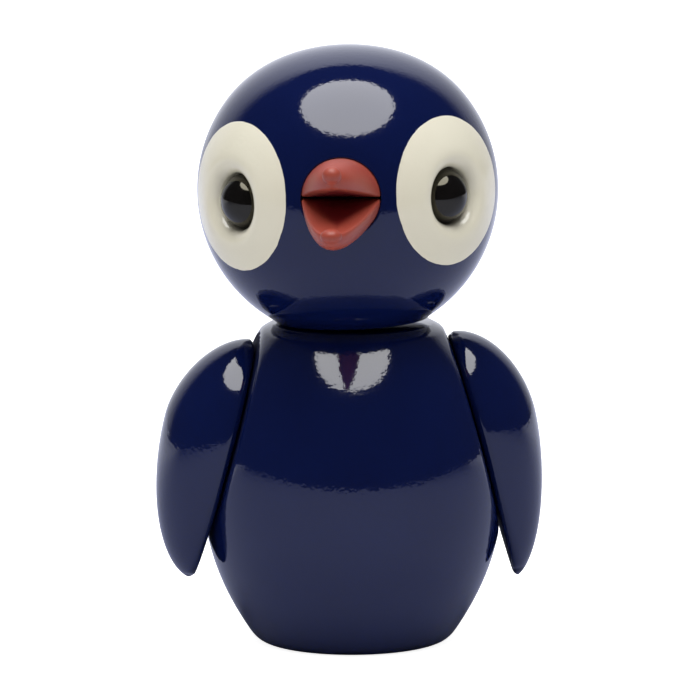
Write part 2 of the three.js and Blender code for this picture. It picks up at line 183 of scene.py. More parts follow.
@dataclass(frozen=True)
class GlossLacquer:
    """Sprayed polyurethane lacquer on sanded wood: a deep colour under a clear mirror.

    The mirror is broken by orange peel, so the edges of reflections are ragged, and the grain
    of the wood sinks into it as faint upright streaks.
    """

    name: str = "polyurethane_lacquer_on_wood"
    colour: str = "#050d34"
    thin_colour: str = "#07133f"
    cream: str = "#dedac9"
    cream_shade: str = "#d6d1bf"
    roughness: float = 0.07
    cream_roughness: float = 0.11
    ior: float = 1.6
    peel_width: float = 0.9
    peel_height: float = 0.02
    grain_width: float = 0.9  # drawn coarser than the wood's pores, so that it shows
    grain_length: float = 24.0
    grain_height: float = 0.003
    cloud_width: float = 16.0
    patch_blur: float = 0.10
    patch_wobble: float = 0.32
    patch_wobble_width: float = 3.2
    patch_film: float = 0.035
    rubbed_roughness: float = 0.75
    rubbed_specular: float = 0.12

    def rubbed(self) -> bpy.types.Material:
        """Makes the thin dull coat of the faces that slide on each other.

        Returns:
            The finished material.
        """
        material = empty_material(f"{self.name}_rubbed_dull")
        tree = material.node_tree
        place = add_node(tree, "ShaderNodeTexCoord", {}, {}).outputs["Object"]
        height = self._surface(tree, place)
        normal = add_node(
            tree, "ShaderNodeBump", {}, {"Height": height, "Distance": MM, "Strength": 1.0}
        )
        shader = add_node(
            tree,
            "ShaderNodeBsdfPrincipled",
            {},
            {
                "Base Color": self._navy(tree, self._clouds(tree, place)),
                "Roughness": self.rubbed_roughness,
                "Specular IOR Level": self.rubbed_specular,
                "Normal": normal.outputs[0],
            },
        )
        add_node(tree, "ShaderNodeOutputMaterial", {}, {"Surface": shader.outputs[0]})
        return material

    def material(self, patches: Sequence[PaintedPatch] = ()) -> bpy.types.Material:
        """Makes the lacquer, with patches of cream paint where they are given.

        Args:
            patches: Round patches of cream paint.

        Returns:
            The finished material.
        """
        material = empty_material(self.name + ("_with_cream_patches" if patches else ""))
        tree = material.node_tree
        place = add_node(tree, "ShaderNodeTexCoord", {}, {}).outputs["Object"]
        clouds = self._clouds(tree, place)
        height = self._surface(tree, place)
        colour, roughness = self._navy(tree, clouds), self.roughness
        if patches:
            mask = self._mask(tree, place, patches)
            cream = add_node(
                tree,
                "ShaderNodeMix",
                {"data_type": "RGBA"},
                {0: clouds, 6: linear(self.cream), 7: linear(self.cream_shade)},
            )
            colour = add_node(
                tree,
                "ShaderNodeMix",
                {"data_type": "RGBA"},
                {0: mask, 6: colour, 7: cream.outputs[2]},
            ).outputs[2]
            roughness = add_node(
                tree,
                "ShaderNodeMapRange",
                {},
                {"Value": mask, "To Min": self.roughness, "To Max": self.cream_roughness},
            ).outputs[0]
            height = add_node(
                tree,
                "ShaderNodeMath",
                {"operation": "MULTIPLY_ADD"},
                {0: mask, 1: self.patch_film, 2: height},
            ).outputs[0]
        normal = add_node(
            tree, "ShaderNodeBump", {}, {"Height": height, "Distance": MM, "Strength": 1.0}
        )
        shader = add_node(
            tree,
            "ShaderNodeBsdfPrincipled",
            {},
            {
                "Base Color": colour,
                "Roughness": roughness,
                "IOR": self.ior,
                "Normal": normal.outputs[0],
            },
        )
        add_node(tree, "ShaderNodeOutputMaterial", {}, {"Surface": shader.outputs[0]})
        return material

    def _clouds(
        self, tree: bpy.types.NodeTree, place: bpy.types.NodeSocket
    ) -> bpy.types.NodeSocket:
        """Adds wide soft clouds, as a sprayed coat has where it is thicker and thinner.

        Args:
            tree: Tree of the material.
            place: Place on the piece, in metres.

        Returns:
            Output that holds the clouds.
        """
        clouds = add_node(
            tree,
            "ShaderNodeTexNoise",
            {},
            {"Vector": place, "Scale": 1 / (self.cloud_width * MM), "Detail": 3.0},
        )
        return clouds.outputs[0]

    def _navy(
        self, tree: bpy.types.NodeTree, clouds: bpy.types.NodeSocket
    ) -> bpy.types.NodeSocket:
        """Adds the colour of the lacquer, which is lighter where the coat is thin.

        Args:
            tree: Tree of the material.
            clouds: Where the coat is thin.

        Returns:
            Output that holds the colour.
        """
        navy = add_node(
            tree,
            "ShaderNodeMix",
            {"data_type": "RGBA"},
            {0: clouds, 6: linear(self.colour), 7: linear(self.thin_colour)},
        )
        return navy.outputs[2]

    def _surface(
        self, tree: bpy.types.NodeTree, place: bpy.types.NodeSocket
    ) -> bpy.types.NodeSocket:
        """Adds the height of the lacquer film in millimetres.

        Args:
            tree: Tree of the material.
            place: Place on the piece, in metres.

        Returns:
            Output that holds the height.
        """
        peel = add_node(
            tree,
            "ShaderNodeTexNoise",
            {},
            {"Vector": place, "Scale": 1 / (self.peel_width * MM), "Detail": 1.5},
        )
        stretched = add_node(
            tree,
            "ShaderNodeVectorMath",
            {"operation": "MULTIPLY"},
            {
                0: place,
                1: (
                    1 / (self.grain_width * MM),
                    1 / (self.grain_width * MM),
                    1 / (self.grain_length * MM),
                ),
            },
        )
        grain = add_node(
            tree,
            "ShaderNodeTexNoise",
            {},
            {"Vector": stretched.outputs[0], "Scale": 1.0, "Detail": 2.0},
        )
        streaks = add_node(
            tree,
            "ShaderNodeMath",
            {"operation": "MULTIPLY"},
            {0: grain.outputs[0], 1: self.grain_height},
        )
        height = add_node(
            tree,
            "ShaderNodeMath",
            {"operation": "MULTIPLY_ADD"},
            {0: peel.outputs[0], 1: self.peel_height, 2: streaks.outputs[0]},
        )
        return height.outputs[0]

    def _mask(
        self,
        tree: bpy.types.NodeTree,
        place: bpy.types.NodeSocket,
        patches: Sequence[PaintedPatch],
    ) -> bpy.types.NodeSocket:
        """Adds a mask that is one on the patches, with a slightly uneven brushed edge.

        Args:
            tree: Tree of the material.
            place: Place on the piece, in metres.
            patches: Patches to paint.

        Returns:
            Output that holds the mask.
        """
        wobble = add_node(
            tree,
            "ShaderNodeTexNoise",
            {},
            {"Vector": place, "Scale": 1 / (self.patch_wobble_width * MM), "Detail": 2.5},
        )
        mask = None
        for patch in patches:
            from_middle = add_node(
                tree,
                "ShaderNodeVectorMath",
                {"operation": "SUBTRACT"},
                {0: place, 1: patch.centre},
            )
            outward = add_node(
                tree,
                "ShaderNodeVectorMath",
                {"operation": "NORMALIZE"},
                {0: from_middle.outputs[0]},
            )
            nearness = add_node(
                tree,
                "ShaderNodeVectorMath",
                {"operation": "DOT_PRODUCT"},
                {0: outward.outputs[0], 1: patch.axis},
            )
            edge = math.radians(patch.spread_deg)
            per_millimetre = math.sin(edge) / patch.ball
            uneven = add_node(
                tree,
                "ShaderNodeMath",
                {"operation": "MULTIPLY_ADD"},
                {
                    0: wobble.outputs[0],
                    1: self.patch_wobble * per_millimetre,
                    2: nearness.outputs["Value"],
                },
            )
            middle = math.cos(edge) + 0.5 * self.patch_wobble * per_millimetre
            blur = 0.5 * self.patch_blur * per_millimetre
            inside = add_node(
                tree,
                "ShaderNodeMapRange",
                {"interpolation_type": "SMOOTHSTEP"},
                {"Value": uneven.outputs[0], "From Min": middle - blur, "From Max": middle + blur},
            ).outputs[0]
            if mask is not None:
                inside = add_node(
                    tree, "ShaderNodeMath", {"operation": "MAXIMUM"}, {0: mask, 1: inside}
                ).outputs[0]
            mask = inside
        return mask


@dataclass(frozen=True)
class Mouth:
    """Where shade is painted inside the mouth on one jaw: places in metres in the frame, sizes in
    millimetres.
    """

    jaw: str
    throat: Vector
    forward: Vector
    across: Vector
    off_face: Vector
    width: float = 7.2
    reach: float = 19.0
    # film: depth off the jaw's inner face within which shade is painted
    film: float = 0.45
    shade_fade: float = 2.2  # times the film depth, where the painted shade has ended
    dark_share: float = 0.72  # of the reach, where the painted shade begins to fade
    fade_share: float = 1.05  # of the reach, where it has ended


@dataclass(frozen=True)
class SatinEnamel:
    """Brushed red enamel on wood: a soft sheen, fine brush ridges and painted shade in the mouth.

    Shade is painted inside the mouth, darker towards the front. The throat is painted lighter,
    as painted light where less light falls.
    """

    name: str = "satin_enamel_on_wood"
    colour: str = "#933b2c"
    faded_colour: str = "#9c4333"
    # painted shade inside the mouth: lighter at the throat as painted light, darker at the palate
    throat_painted_shade_colour: str = "#8c2028"
    palate_painted_shade_colour: str = "#6a140f"
    roughness: float = 0.46
    roughness_spread: float = 0.06
    ior: float = 1.5
    brush_width: float = 0.35
    brush_length: float = 4.0
    brush_height: float = 0.006
    cloud_width: float = 4.0

    def material(self, mouth: Mouth) -> bpy.types.Material:
        """Makes the enamel for one jaw.

        Args:
            mouth: Where shade is painted inside the mouth.

        Returns:
            The finished material.
        """
        material = empty_material(f"{self.name}_{mouth.jaw}")
        tree = material.node_tree
        place = add_node(tree, "ShaderNodeTexCoord", {}, {}).outputs["Object"]
        clouds = add_node(
            tree,
            "ShaderNodeTexNoise",
            {},
            {"Vector": place, "Scale": 1 / (self.cloud_width * MM), "Detail": 3.0},
        )
        red = add_node(
            tree,
            "ShaderNodeMix",
            {"data_type": "RGBA"},
            {0: clouds.outputs[0], 6: linear(self.colour), 7: linear(self.faded_colour)},
        )
        depth = self._along(tree, place, mouth.throat, mouth.forward)
        ahead = add_node(
            tree,
            "ShaderNodeMapRange",
            {"interpolation_type": "SMOOTHSTEP"},
            {"Value": depth, "From Min": 0.0, "From Max": mouth.reach * MM},
        )
        # painted shade inside the mouth, darker forward and lighter at the throat as painted light
        coat = add_node(
            tree,
            "ShaderNodeMix",
            {"data_type": "RGBA"},
            {
                0: ahead.outputs[0],
                6: linear(self.throat_painted_shade_colour),
                7: linear(self.palate_painted_shade_colour),
            },
        )
        # mask of the painted shade, laid over the red below
        inside = self._mouth_shade_mask(tree, place, depth, mouth)
        colour = add_node(
            tree,
            "ShaderNodeMix",
            {"data_type": "RGBA"},
            {0: inside, 6: red.outputs[2], 7: coat.outputs[2]},
        )
        stretched = add_node(
            tree,
            "ShaderNodeVectorMath",
            {"operation": "MULTIPLY"},
            {
                0: place,
                1: (
                    1 / (self.brush_width * MM),
                    1 / (self.brush_length * MM),
                    1 / (self.brush_width * MM),
                ),
            },
        )
        brush = add_node(
            tree,
            "ShaderNodeTexNoise",
            {},
            {"Vector": stretched.outputs[0], "Scale": 1.0, "Detail": 2.0},
        )
        normal = add_node(
            tree,
            "ShaderNodeBump",
            {},
            {"Height": brush.outputs[0], "Distance": self.brush_height * MM, "Strength": 1.0},
        )
        sheen = add_node(
            tree,
            "ShaderNodeMapRange",
            {},
            {
                "Value": clouds.outputs[0],
                "To Min": self.roughness - self.roughness_spread,
                "To Max": self.roughness + self.roughness_spread,
            },
        )
        shader = add_node(
            tree,
            "ShaderNodeBsdfPrincipled",
            {},
            {
                "Base Color": colour.outputs[2],
                "Roughness": sheen.outputs[0],
                "IOR": self.ior,
                "Normal": normal.outputs[0],
            },
        )
        add_node(tree, "ShaderNodeOutputMaterial", {}, {"Surface": shader.outputs[0]})
        return material

    def _mouth_shade_mask(
        self,
        tree: bpy.types.NodeTree,
        place: bpy.types.NodeSocket,
        depth: bpy.types.NodeSocket,
        mouth: Mouth,
    ) -> bpy.types.NodeSocket:
        """Adds the mask of the painted shade inside the mouth, on a wedge of the jaw's inner face.

        Args:
            tree: Tree of the material.
            place: Place on the piece, in metres.
            depth: Distance forward from the throat, in metres.
            mouth: Where shade is painted inside the mouth.

        Returns:
            Output that holds the mask.
        """
        on_face = add_node(
            tree,
            "ShaderNodeMapRange",
            {"interpolation_type": "SMOOTHSTEP"},
            {
                "Value": self._along(tree, place, mouth.throat, mouth.off_face),
                "From Min": mouth.film * MM,
                "From Max": mouth.shade_fade * mouth.film * MM,
                "To Min": 1.0,
                "To Max": 0.0,
            },
        )
        side = add_node(
            tree,
            "ShaderNodeMath",
            {"operation": "ABSOLUTE"},
            {0: self._along(tree, place, mouth.throat, mouth.across)},
        )
        wedge = add_node(
            tree,
            "ShaderNodeMath",
            {"operation": "MULTIPLY_ADD"},
            {0: side.outputs[0], 1: mouth.reach / mouth.width, 2: depth},
        )
        in_wedge = add_node(
            tree,
            "ShaderNodeMapRange",
            {"interpolation_type": "SMOOTHSTEP"},
            {
                "Value": wedge.outputs[0],
                "From Min": mouth.dark_share * mouth.reach * MM,
                "From Max": mouth.fade_share * mouth.reach * MM,
                "To Min": 1.0,
                "To Max": 0.0,
            },
        )
        inside = add_node(
            tree,
            "ShaderNodeMath",
            {"operation": "MULTIPLY"},
            {0: on_face.outputs[0], 1: in_wedge.outputs[0]},
        )
        return inside.outputs[0]

    def _along(
        self,
        tree: bpy.types.NodeTree,
        place: bpy.types.NodeSocket,
        start: Vector,
        direction: Vector,
    ) -> bpy.types.NodeSocket:
        """Adds the distance of a place from a point along a direction.

        Args:
            tree: Tree of the material.
            place: Place on the piece, in metres.
            start: Point to measure from, in metres.
            direction: Direction to measure along.

        Returns:
            Output that holds the distance in metres.
        """
        offset = add_node(
            tree, "ShaderNodeVectorMath", {"operation": "SUBTRACT"}, {0: place, 1: start}
        )
        distance = add_node(
            tree,
            "ShaderNodeVectorMath",
            {"operation": "DOT_PRODUCT"},
            {0: offset.outputs[0], 1: direction},
        )
        return distance.outputs["Value"]


@dataclass(frozen=True)
class PolishedBead:
    """Tumbled and polished black bead: near black, a sharp warm mirror and faint flow marks."""

    name: str = "polished_black_bead"
    colour: str = "#070607"
    pale_colour: str = "#0f0d0e"
    mirror_colour: str = "#fff8dc"
    roughness: float = 0.09
    ior: float = 1.6
    flow_width: float = 2.5
    flow_height: float = 0.002

    def material(self) -> bpy.types.Material:
        """Makes the bead's material.

        Returns:
            The finished material.
        """
        material = empty_material(self.name)
        tree = material.node_tree
        place = add_node(tree, "ShaderNodeTexCoord", {}, {}).outputs["Object"]
        flow = add_node(
            tree,
            "ShaderNodeTexNoise",
            {},
            {"Vector": place, "Scale": 1 / (self.flow_width * MM), "Detail": 2.0},
        )
        colour = add_node(
            tree,
            "ShaderNodeMix",
            {"data_type": "RGBA"},
            {0: flow.outputs[0], 6: linear(self.colour), 7: linear(self.pale_colour)},
        )
        normal = add_node(
            tree,
            "ShaderNodeBump",
            {},
            {"Height": flow.outputs[0], "Distance": self.flow_height * MM, "Strength": 1.0},
        )
        shader = add_node(
            tree,
            "ShaderNodeBsdfPrincipled",
            {},
            {
                "Base Color": colour.outputs[2],
                "Roughness": self.roughness,
                "IOR": self.ior,
                "Specular Tint": linear(self.mirror_colour),
                "Normal": normal.outputs[0],
            },
        )
        add_node(tree, "ShaderNodeOutputMaterial", {}, {"Surface": shader.outputs[0]})
        return material


@dataclass(frozen=True)
class BareBeech:
    """Sanded bare beech: pale pinkish wood with fine darker grain along each dowel."""

    name: str = "sanded_beech"
    colour: str = "#d2ad80"
    dark_colour: str = "#b98a5c"
    roughness: float = 0.6
    grain_width: float = 0.7
    grain_length: float = 9.0
    grain_height: float = 0.02

    def material(self, along: Vector) -> bpy.types.Material:
        """Makes the wood with its grain along a direction.

        Args:
            along: Direction of the grain in the frame.

        Returns:
            The finished material.
        """
        material = empty_material(self.name)
        tree = material.node_tree
        place = add_node(tree, "ShaderNodeTexCoord", {}, {}).outputs["Object"]
        upright = along.rotation_difference(UP).to_euler()
        aligned = add_node(
            tree,
            "ShaderNodeMapping",
            {"vector_type": "POINT"},
            {"Vector": place, "Rotation": upright},
        )
        stretched = add_node(
            tree,
            "ShaderNodeVectorMath",
            {"operation": "MULTIPLY"},
            {
                0: aligned.outputs[0],
                1: (
                    1 / (self.grain_width * MM),
                    1 / (self.grain_width * MM),
                    1 / (self.grain_length * MM),
                ),
            },
        )
        grain = add_node(
            tree,
            "ShaderNodeTexNoise",
            {},
            {"Vector": stretched.outputs[0], "Scale": 1.0, "Detail": 4.0, "Distortion": 0.4},
        )
        colour = add_node(
            tree,
            "ShaderNodeMix",
            {"data_type": "RGBA"},
            {0: grain.outputs[0], 6: linear(self.colour), 7: linear(self.dark_colour)},
        )
        normal = add_node(
            tree,
            "ShaderNodeBump",
            {},
            {"Height": grain.outputs[0], "Distance": self.grain_height * MM, "Strength": 1.0},
        )
        shader = add_node(
            tree,
            "ShaderNodeBsdfPrincipled",
            {},
            {
                "Base Color": colour.outputs[2],
                "Roughness": self.roughness,
                "Normal": normal.outputs[0],
            },
        )
        add_node(tree, "ShaderNodeOutputMaterial", {}, {"Surface": shader.outputs[0]})
        return material


@dataclass
class Shell:
    """Points in millimetres and the faces between them."""

    points: list[Vector] = field(default_factory=list)
    faces: list[tuple[int, ...]] = field(default_factory=list)

    def add_row(self, points: Sequence[Vector]) -> list[int]:
        """Adds a row of points.

        Args:
            points: Points in millimetres.

        Returns:
            Their numbers in the shell.
        """
        first = len(self.points)
        self.points.extend(points)
        return list(range(first, len(self.points)))

    def bridge(self, rows: Sequence[Sequence[int]]) -> None:
        """Closes the strip between each row and the next, as a fan where a row is one point.

        Args:
            rows: Numbers of the points of each row, in the same sense all round.
        """
        for near, far in zip(rows, rows[1:]):
            count = max(len(near), len(far))
            for step in range(count):
                after = (step + 1) % count
                corners = (
                    near[step % len(near)],
                    near[after % len(near)],
                    far[after % len(far)],
                    far[step % len(far)],
                )
                self.faces.append(tuple(dict.fromkeys(corners)))

    def piece(self, name: str, place: Matrix) -> bpy.types.Object:
        """Makes a smooth object of the shell, in metres.

        Args:
            name: Name of the piece.
            place: Where the shell goes, in millimetres.

        Returns:
            The new object, whose own origin is that of the frame.
        """
        mesh = bpy.data.meshes.new(name)
        mesh.from_pydata([(place @ point) * MM for point in self.points], [], self.faces)
        made = bpy.data.objects.new(name, mesh)
        bpy.context.scene.collection.objects.link(made)
        shade(made)
        return made


def ring_points(radius: float, height: float, segments: int) -> list[Vector]:
    """Returns the points of a ring about +Z, or the one point on the axis.

    Args:
        radius: Radius of the ring; zero gives one point.
        height: Height of the ring.
        segments: Points all round.

    Returns:
        Points counted from +X towards +Y.
    """
    count = segments if radius > 0 else 1
    angles = [2 * math.pi * step / segments for step in range(count)]
    return [Vector((radius * math.cos(a), radius * math.sin(a), height)) for a in angles]


def turned(outline: Outline, segments: int) -> Shell:
    """Turns an outline about +Z.

    Args:
        outline: Radius and height of each point; a radius of zero closes to the axis.
        segments: Faces all round.

    Returns:
        The turned shell.
    """
    shell = Shell()
    shell.bridge([shell.add_row(ring_points(off, height, segments)) for off, height in outline])
    return shell


def shade(made: bpy.types.Object) -> None:
    """Turns all faces outward and shades them smooth up to sharp corners.

    Args:
        made: Piece to shade.
    """
    work = bmesh.new()
    work.from_mesh(made.data)
    bmesh.ops.recalc_face_normals(work, faces=work.faces)
    for face in work.faces:
        face.smooth = True
    for edge in work.edges:
        edge.smooth = not edge.is_manifold or edge.calc_face_angle() < SHARP_EDGE
    work.to_mesh(made.data)
    work.free()


def settle(made: bpy.types.Object) -> None:
    """Makes a piece's modifiers part of its mesh.

    Args:
        made: Piece to settle.
    """
    bpy.context.view_layer.update()
    depsgraph = bpy.context.evaluated_depsgraph_get()
    mesh = bpy.data.meshes.new_from_object(made.evaluated_get(depsgraph))
    old = made.data
    made.modifiers.clear()
    made.data = mesh
    bpy.data.meshes.remove(old)


def cut_away(made: bpy.types.Object, cutters: Sequence[bpy.types.Object]) -> None:
    """Takes cutters out of a piece and removes them.

    Args:
        made: Piece to cut.
        cutters: Closed meshes to take away.
    """
    for cutter in cutters:
        cut = made.modifiers.new(cutter.name, "BOOLEAN")
        cut.operation = "DIFFERENCE"
        cut.solver = "EXACT"
        cut.object = cutter
    settle(made)
    for cutter in cutters:
        bpy.data.objects.remove(cutter)
    shade(made)


def hand_over(
    made: bpy.types.Object,
    material: bpy.types.Material,
    body: Rides,
    node: str,
) -> None:
    """Dresses a piece, lets it ride on its body and stand for its CAD node.

    Args:
        made: Finished piece.
        material: Its finish.
        body: Body that it rides on.
        node: CAD node that it stands for.
    """
    made.data.materials.clear()
    made.data.materials.append(material)
    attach(made, body.value)
    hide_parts(node)
    LOG.info("%s stands for %s, %d faces", made.name, node, len(made.data.polygons))


def rub(
    made: bpy.types.Object, dull: bpy.types.Material, point: Vector, outward: Vector
) -> None:
    """Gives the faces of a piece that lie in one plane a dull finish.

    Args:
        made: Dressed piece.
        dull: Finish of the rubbed faces.
        point: Point of the plane, in millimetres.
        outward: Direction square to the plane.
    """
    if dull.name not in made.data.materials:
        made.data.materials.append(dull)
    number = made.data.materials.find(dull.name)
    for face in made.data.polygons:
        off = abs((face.center / MM - point).dot(outward))
        if off < RUBBED_DEPTH:
            face.material_index = number


def between(start: float, end: float, steps: int) -> list[float]:
    """Returns evenly spaced values from start to end, both included."""
    return [start + (end - start) * step / steps for step in range(steps + 1)]


def quadratic(
    start: tuple[float, float], pull: tuple[float, float], end: tuple[float, float], steps: int
) -> Outline:
    """Returns points of a quadratic curve.

    Args:
        start: First point.
        pull: Control point.
        end: Last point.
        steps: Parts of the curve.

    Returns:
        Points from start to end.
    """
    return [
        tuple(
            (1 - t) ** 2 * a + 2 * t * (1 - t) * b + t * t * c for a, b, c in zip(start, pull, end)
        )
        for t in between(0.0, 1.0, steps)
    ]


def arc(
    middle: tuple[float, float], radius: float, start: float, end: float, steps: int
) -> Outline:
    """Returns points of a round arc.

    Args:
        middle: Middle of the arc.
        radius: Radius of the arc.
        start: First angle, in radians.
        end: Last angle, in radians.
        steps: Parts of the arc.

    Returns:
        Points from start to end.
    """
    across, up = middle
    angles = between(start, end, steps)
    return [(across + radius * math.cos(a), up + radius * math.sin(a)) for a in angles]


@dataclass
class DowelPin:
    """A straight beech dowel with chamfered ends and shallow glue flutes."""

    radius: float
    start: float
    end: float
    chamfer: float
    flutes: int = 14
    flute_depth: float = 0.12
    flute_sharpness: int = 4
    rows: int = 6
    segments: int = 112

    def build(self, name: str, place: Matrix) -> bpy.types.Object:
        """Makes the pin along +Z of its place.

        Args:
            name: Name of the piece.
            place: Where the pin goes.

        Returns:
            The finished piece.
        """
        narrow = self.radius - self.chamfer
        heights = between(self.start + self.chamfer, self.end - self.chamfer, self.rows)
        outline = [(0.0, self.start), (narrow, self.start)]
        outline += [(self.radius, height) for height in heights]
        outline += [(narrow, self.end), (0.0, self.end)]
        shell = turned(outline, self.segments)
        for point in shell.points:
            radius = math.hypot(point.x, point.y)
            if radius < narrow + 0.5 * self.chamfer:
                continue
            wave = 0.5 + 0.5 * math.cos(self.flutes * math.atan2(point.y, point.x))
            share = 1 - self.flute_depth * wave**self.flute_sharpness / radius
            point.x, point.y = point.x * share, point.y * share
        return shell.piece(name, place)


def bore(name: str, radius: float, start: float, end: float, place: Matrix) -> bpy.types.Object:
    """Makes a round cutter along +Z of its place.

    Args:
        name: Name of the cutter.
        radius: Radius of the hole.
        start: Where it begins.
        end: Where it ends.
        place: Where the cutter goes.

    Returns:
        The cutter.
    """
    outline = [(0.0, start), (radius, start), (radius, end), (0.0, end)]
    return turned(outline, BORE_SEGMENTS).piece(name, place)


@dataclass
class Neck:
    """The leaning dowel between body and head, and the clearances round it."""

    pivot: Vector
    lean_deg: float = 1.7
    radius: float = 6.0
    chamfer: float = 0.8
    in_body: float = 16.0
    in_head: float = 14.0
    end_clearance: float = 0.3
    glue_clearance: float = 0.2
    turning_clearance: float = 0.25
    seat_gap: float = 0.3

    def place(self) -> Matrix:
        """Returns the place of the neck's own axes, with +Z up the dowel."""
        return Matrix.Translation(self.pivot) @ turn(-self.lean_deg, "Y")

    def seat_lift(self, seat_radius: float) -> float:
        """Returns how far the head's seat stands off the body on the neck's line."""
        return self.seat_gap + seat_radius * math.tan(math.radians(self.lean_deg))

    def build(self, seat_radius: float, beech: BareBeech) -> None:
        """Makes the dowel.

        Args:
            seat_radius: Radius of the head's flat seat.
            beech: Finish of the dowel.
        """
        pin = DowelPin(
            self.radius,
            self.end_clearance - self.in_body,
            self.seat_lift(seat_radius) + self.in_head - self.end_clearance,
            self.chamfer,
        )
        made = pin.build("neck_pin", self.place())
        along = self.place().to_3x3() @ UP
        hand_over(made, beech.material(along), Rides.TRUNK, "neck_dowel")


@dataclass
class WingSide:
    """One wing: a slice of a turned egg, split along its length, on its peg."""

    node: str
    body: Rides
    pivot: Vector
    side_turn_deg: float
    length: float
    widest: float
    thickness: float
    top_curve: float
    tip_curve: float
    split: float = 1.2
    lean_deg: float = 15.0
    gap: float = 0.4
    edge: float = 1.4
    edge_share: float = 0.45  # most of the rise that a softened edge may take
    end_lift: float = 1.1
    end_reach: float = 1.6
    peg_drop: float = 14.0
    peg_radius: float = 3.0
    peg_chamfer: float = 0.4
    peg_flutes: int = 10
    peg_in_wing: float = 7.0
    peg_in_body: float = 12.0
    end_clearance: float = 0.3
    glue_clearance: float = 0.2
    turning_clearance: float = 0.25
    length_steps: int = 64
    arc_steps: int = 72
    edge_steps: int = 10
    flat_steps: int = 24

    def place(self) -> Matrix:
        """Returns the place of the wing's axes, with +X out of the body and +Z up its length."""
        return (
            Matrix.Translation(self.pivot) @ turn(self.side_turn_deg, "Z") @ turn(-self.lean_deg, "Y")
        )

    def peg_place(self) -> Matrix:
        """Returns the place of the peg's axes, with +Z out of the body."""
        return self.place() @ turn(90.0, "Y")

    def rise(self, share: float, curve: float) -> float:
        """Returns how far the dome stands off the flat at a share of the way to an end."""
        return self.thickness * max(0.0, 1 - share**curve) ** (1 / curve)

    def outline(self) -> Outline:
        """Works out the dome along the wing's length.

        Returns:
            Rise of the dome and its height, from the tip to the top end.
        """
        points = []
        for angle in between(0.0, math.pi / 2, self.length_steps):
            share = math.cos(angle)
            below = self.widest + (self.length - self.widest) * share
            points.append((self.rise(share, self.tip_curve), self.peg_drop - below))
        for angle in between(0.0, math.pi / 2, self.length_steps)[1:]:
            share = math.sin(angle)
            below = self.widest * (1 - share)
            points.append((self.rise(share, self.top_curve), self.peg_drop - below))
        return points

    def section(self, rise: float, height: float) -> list[Vector]:
        """Returns one section, a slice of a disc with softened corners.

        Args:
            rise: How far the dome stands off the flat at that height.
            height: Height of the section.

        Returns:
            Points all round the section.
        """
        radius = rise + self.split
        soft = min(self.edge, self.edge_share * rise)
        reach = math.sqrt((radius - soft) ** 2 - (soft + self.split) ** 2)
        corner = math.atan2(reach, soft + self.split)
        flat = [(0.0, y) for y in between(reach, -reach, self.flat_steps)[1:-1]]
        dome = arc((-self.split, 0.0), radius, -corner, corner, self.arc_steps)
        front = arc((soft, reach), soft, corner, math.pi, self.edge_steps)[1:]
        back = arc((soft, -reach), soft, math.pi, 2 * math.pi - corner, self.edge_steps)[:-1]
        to_end = min(self.peg_drop - height, self.length - self.peg_drop + height)
        lift = self.end_lift * max(0.0, 1 - to_end / self.end_reach) ** 2
        squeeze = max(0.0, 1 - lift / rise)
        return [
            Vector((lift + squeeze * x, squeeze * y, height)) for x, y in dome + front + flat + back
        ]

    def body_bore(self) -> bpy.types.Object:
        """Makes the cutter for the peg's hole in the body."""
        radius = self.peg_radius + self.turning_clearance
        return bore(f"{self.node}_bore", radius, -self.peg_in_body, BORE_RUNOUT, self.peg_place())

    def outward(self) -> Vector:
        """Returns the direction square to the wing's flat, out of the body."""
        return self.place().to_3x3() @ Vector((1.0, 0.0, 0.0))

    def build(
        self, lacquer: bpy.types.Material, dull: bpy.types.Material, beech: BareBeech
    ) -> None:
        """Makes the wing and its peg.

        Args:
            lacquer: Finish of the wing.
            dull: Finish of the flat that slides on the body.
            beech: Finish of the peg.
        """
        shell = Shell()
        outline = self.outline()
        rows = [shell.add_row([Vector((self.end_lift, 0.0, outline[0][1]))])]
        rows += [shell.add_row(self.section(rise, z)) for rise, z in outline[1:-1]]
        rows.append(shell.add_row([Vector((self.end_lift, 0.0, outline[-1][1]))]))
        shell.bridge(rows)
        made = shell.piece(f"{self.node}_shell", self.place())
        hole = self.peg_radius + self.glue_clearance
        cut_away(made, [bore("peg_bore", hole, -BORE_RUNOUT, self.peg_in_wing, self.peg_place())])
        hand_over(made, lacquer, self.body, self.node)
        rub(made, dull, self.pivot, self.outward())
        pin = DowelPin(
            self.peg_radius,
            self.end_clearance - self.peg_in_body,
            self.peg_in_wing - self.end_clearance,
            self.peg_chamfer,
            flutes=self.peg_flutes,
        )
        peg = pin.build(f"{self.node}_pin", self.peg_place())
        along = self.peg_place().to_3x3() @ UP
        hand_over(peg, beech.material(along), self.body, f"{self.node}_peg")


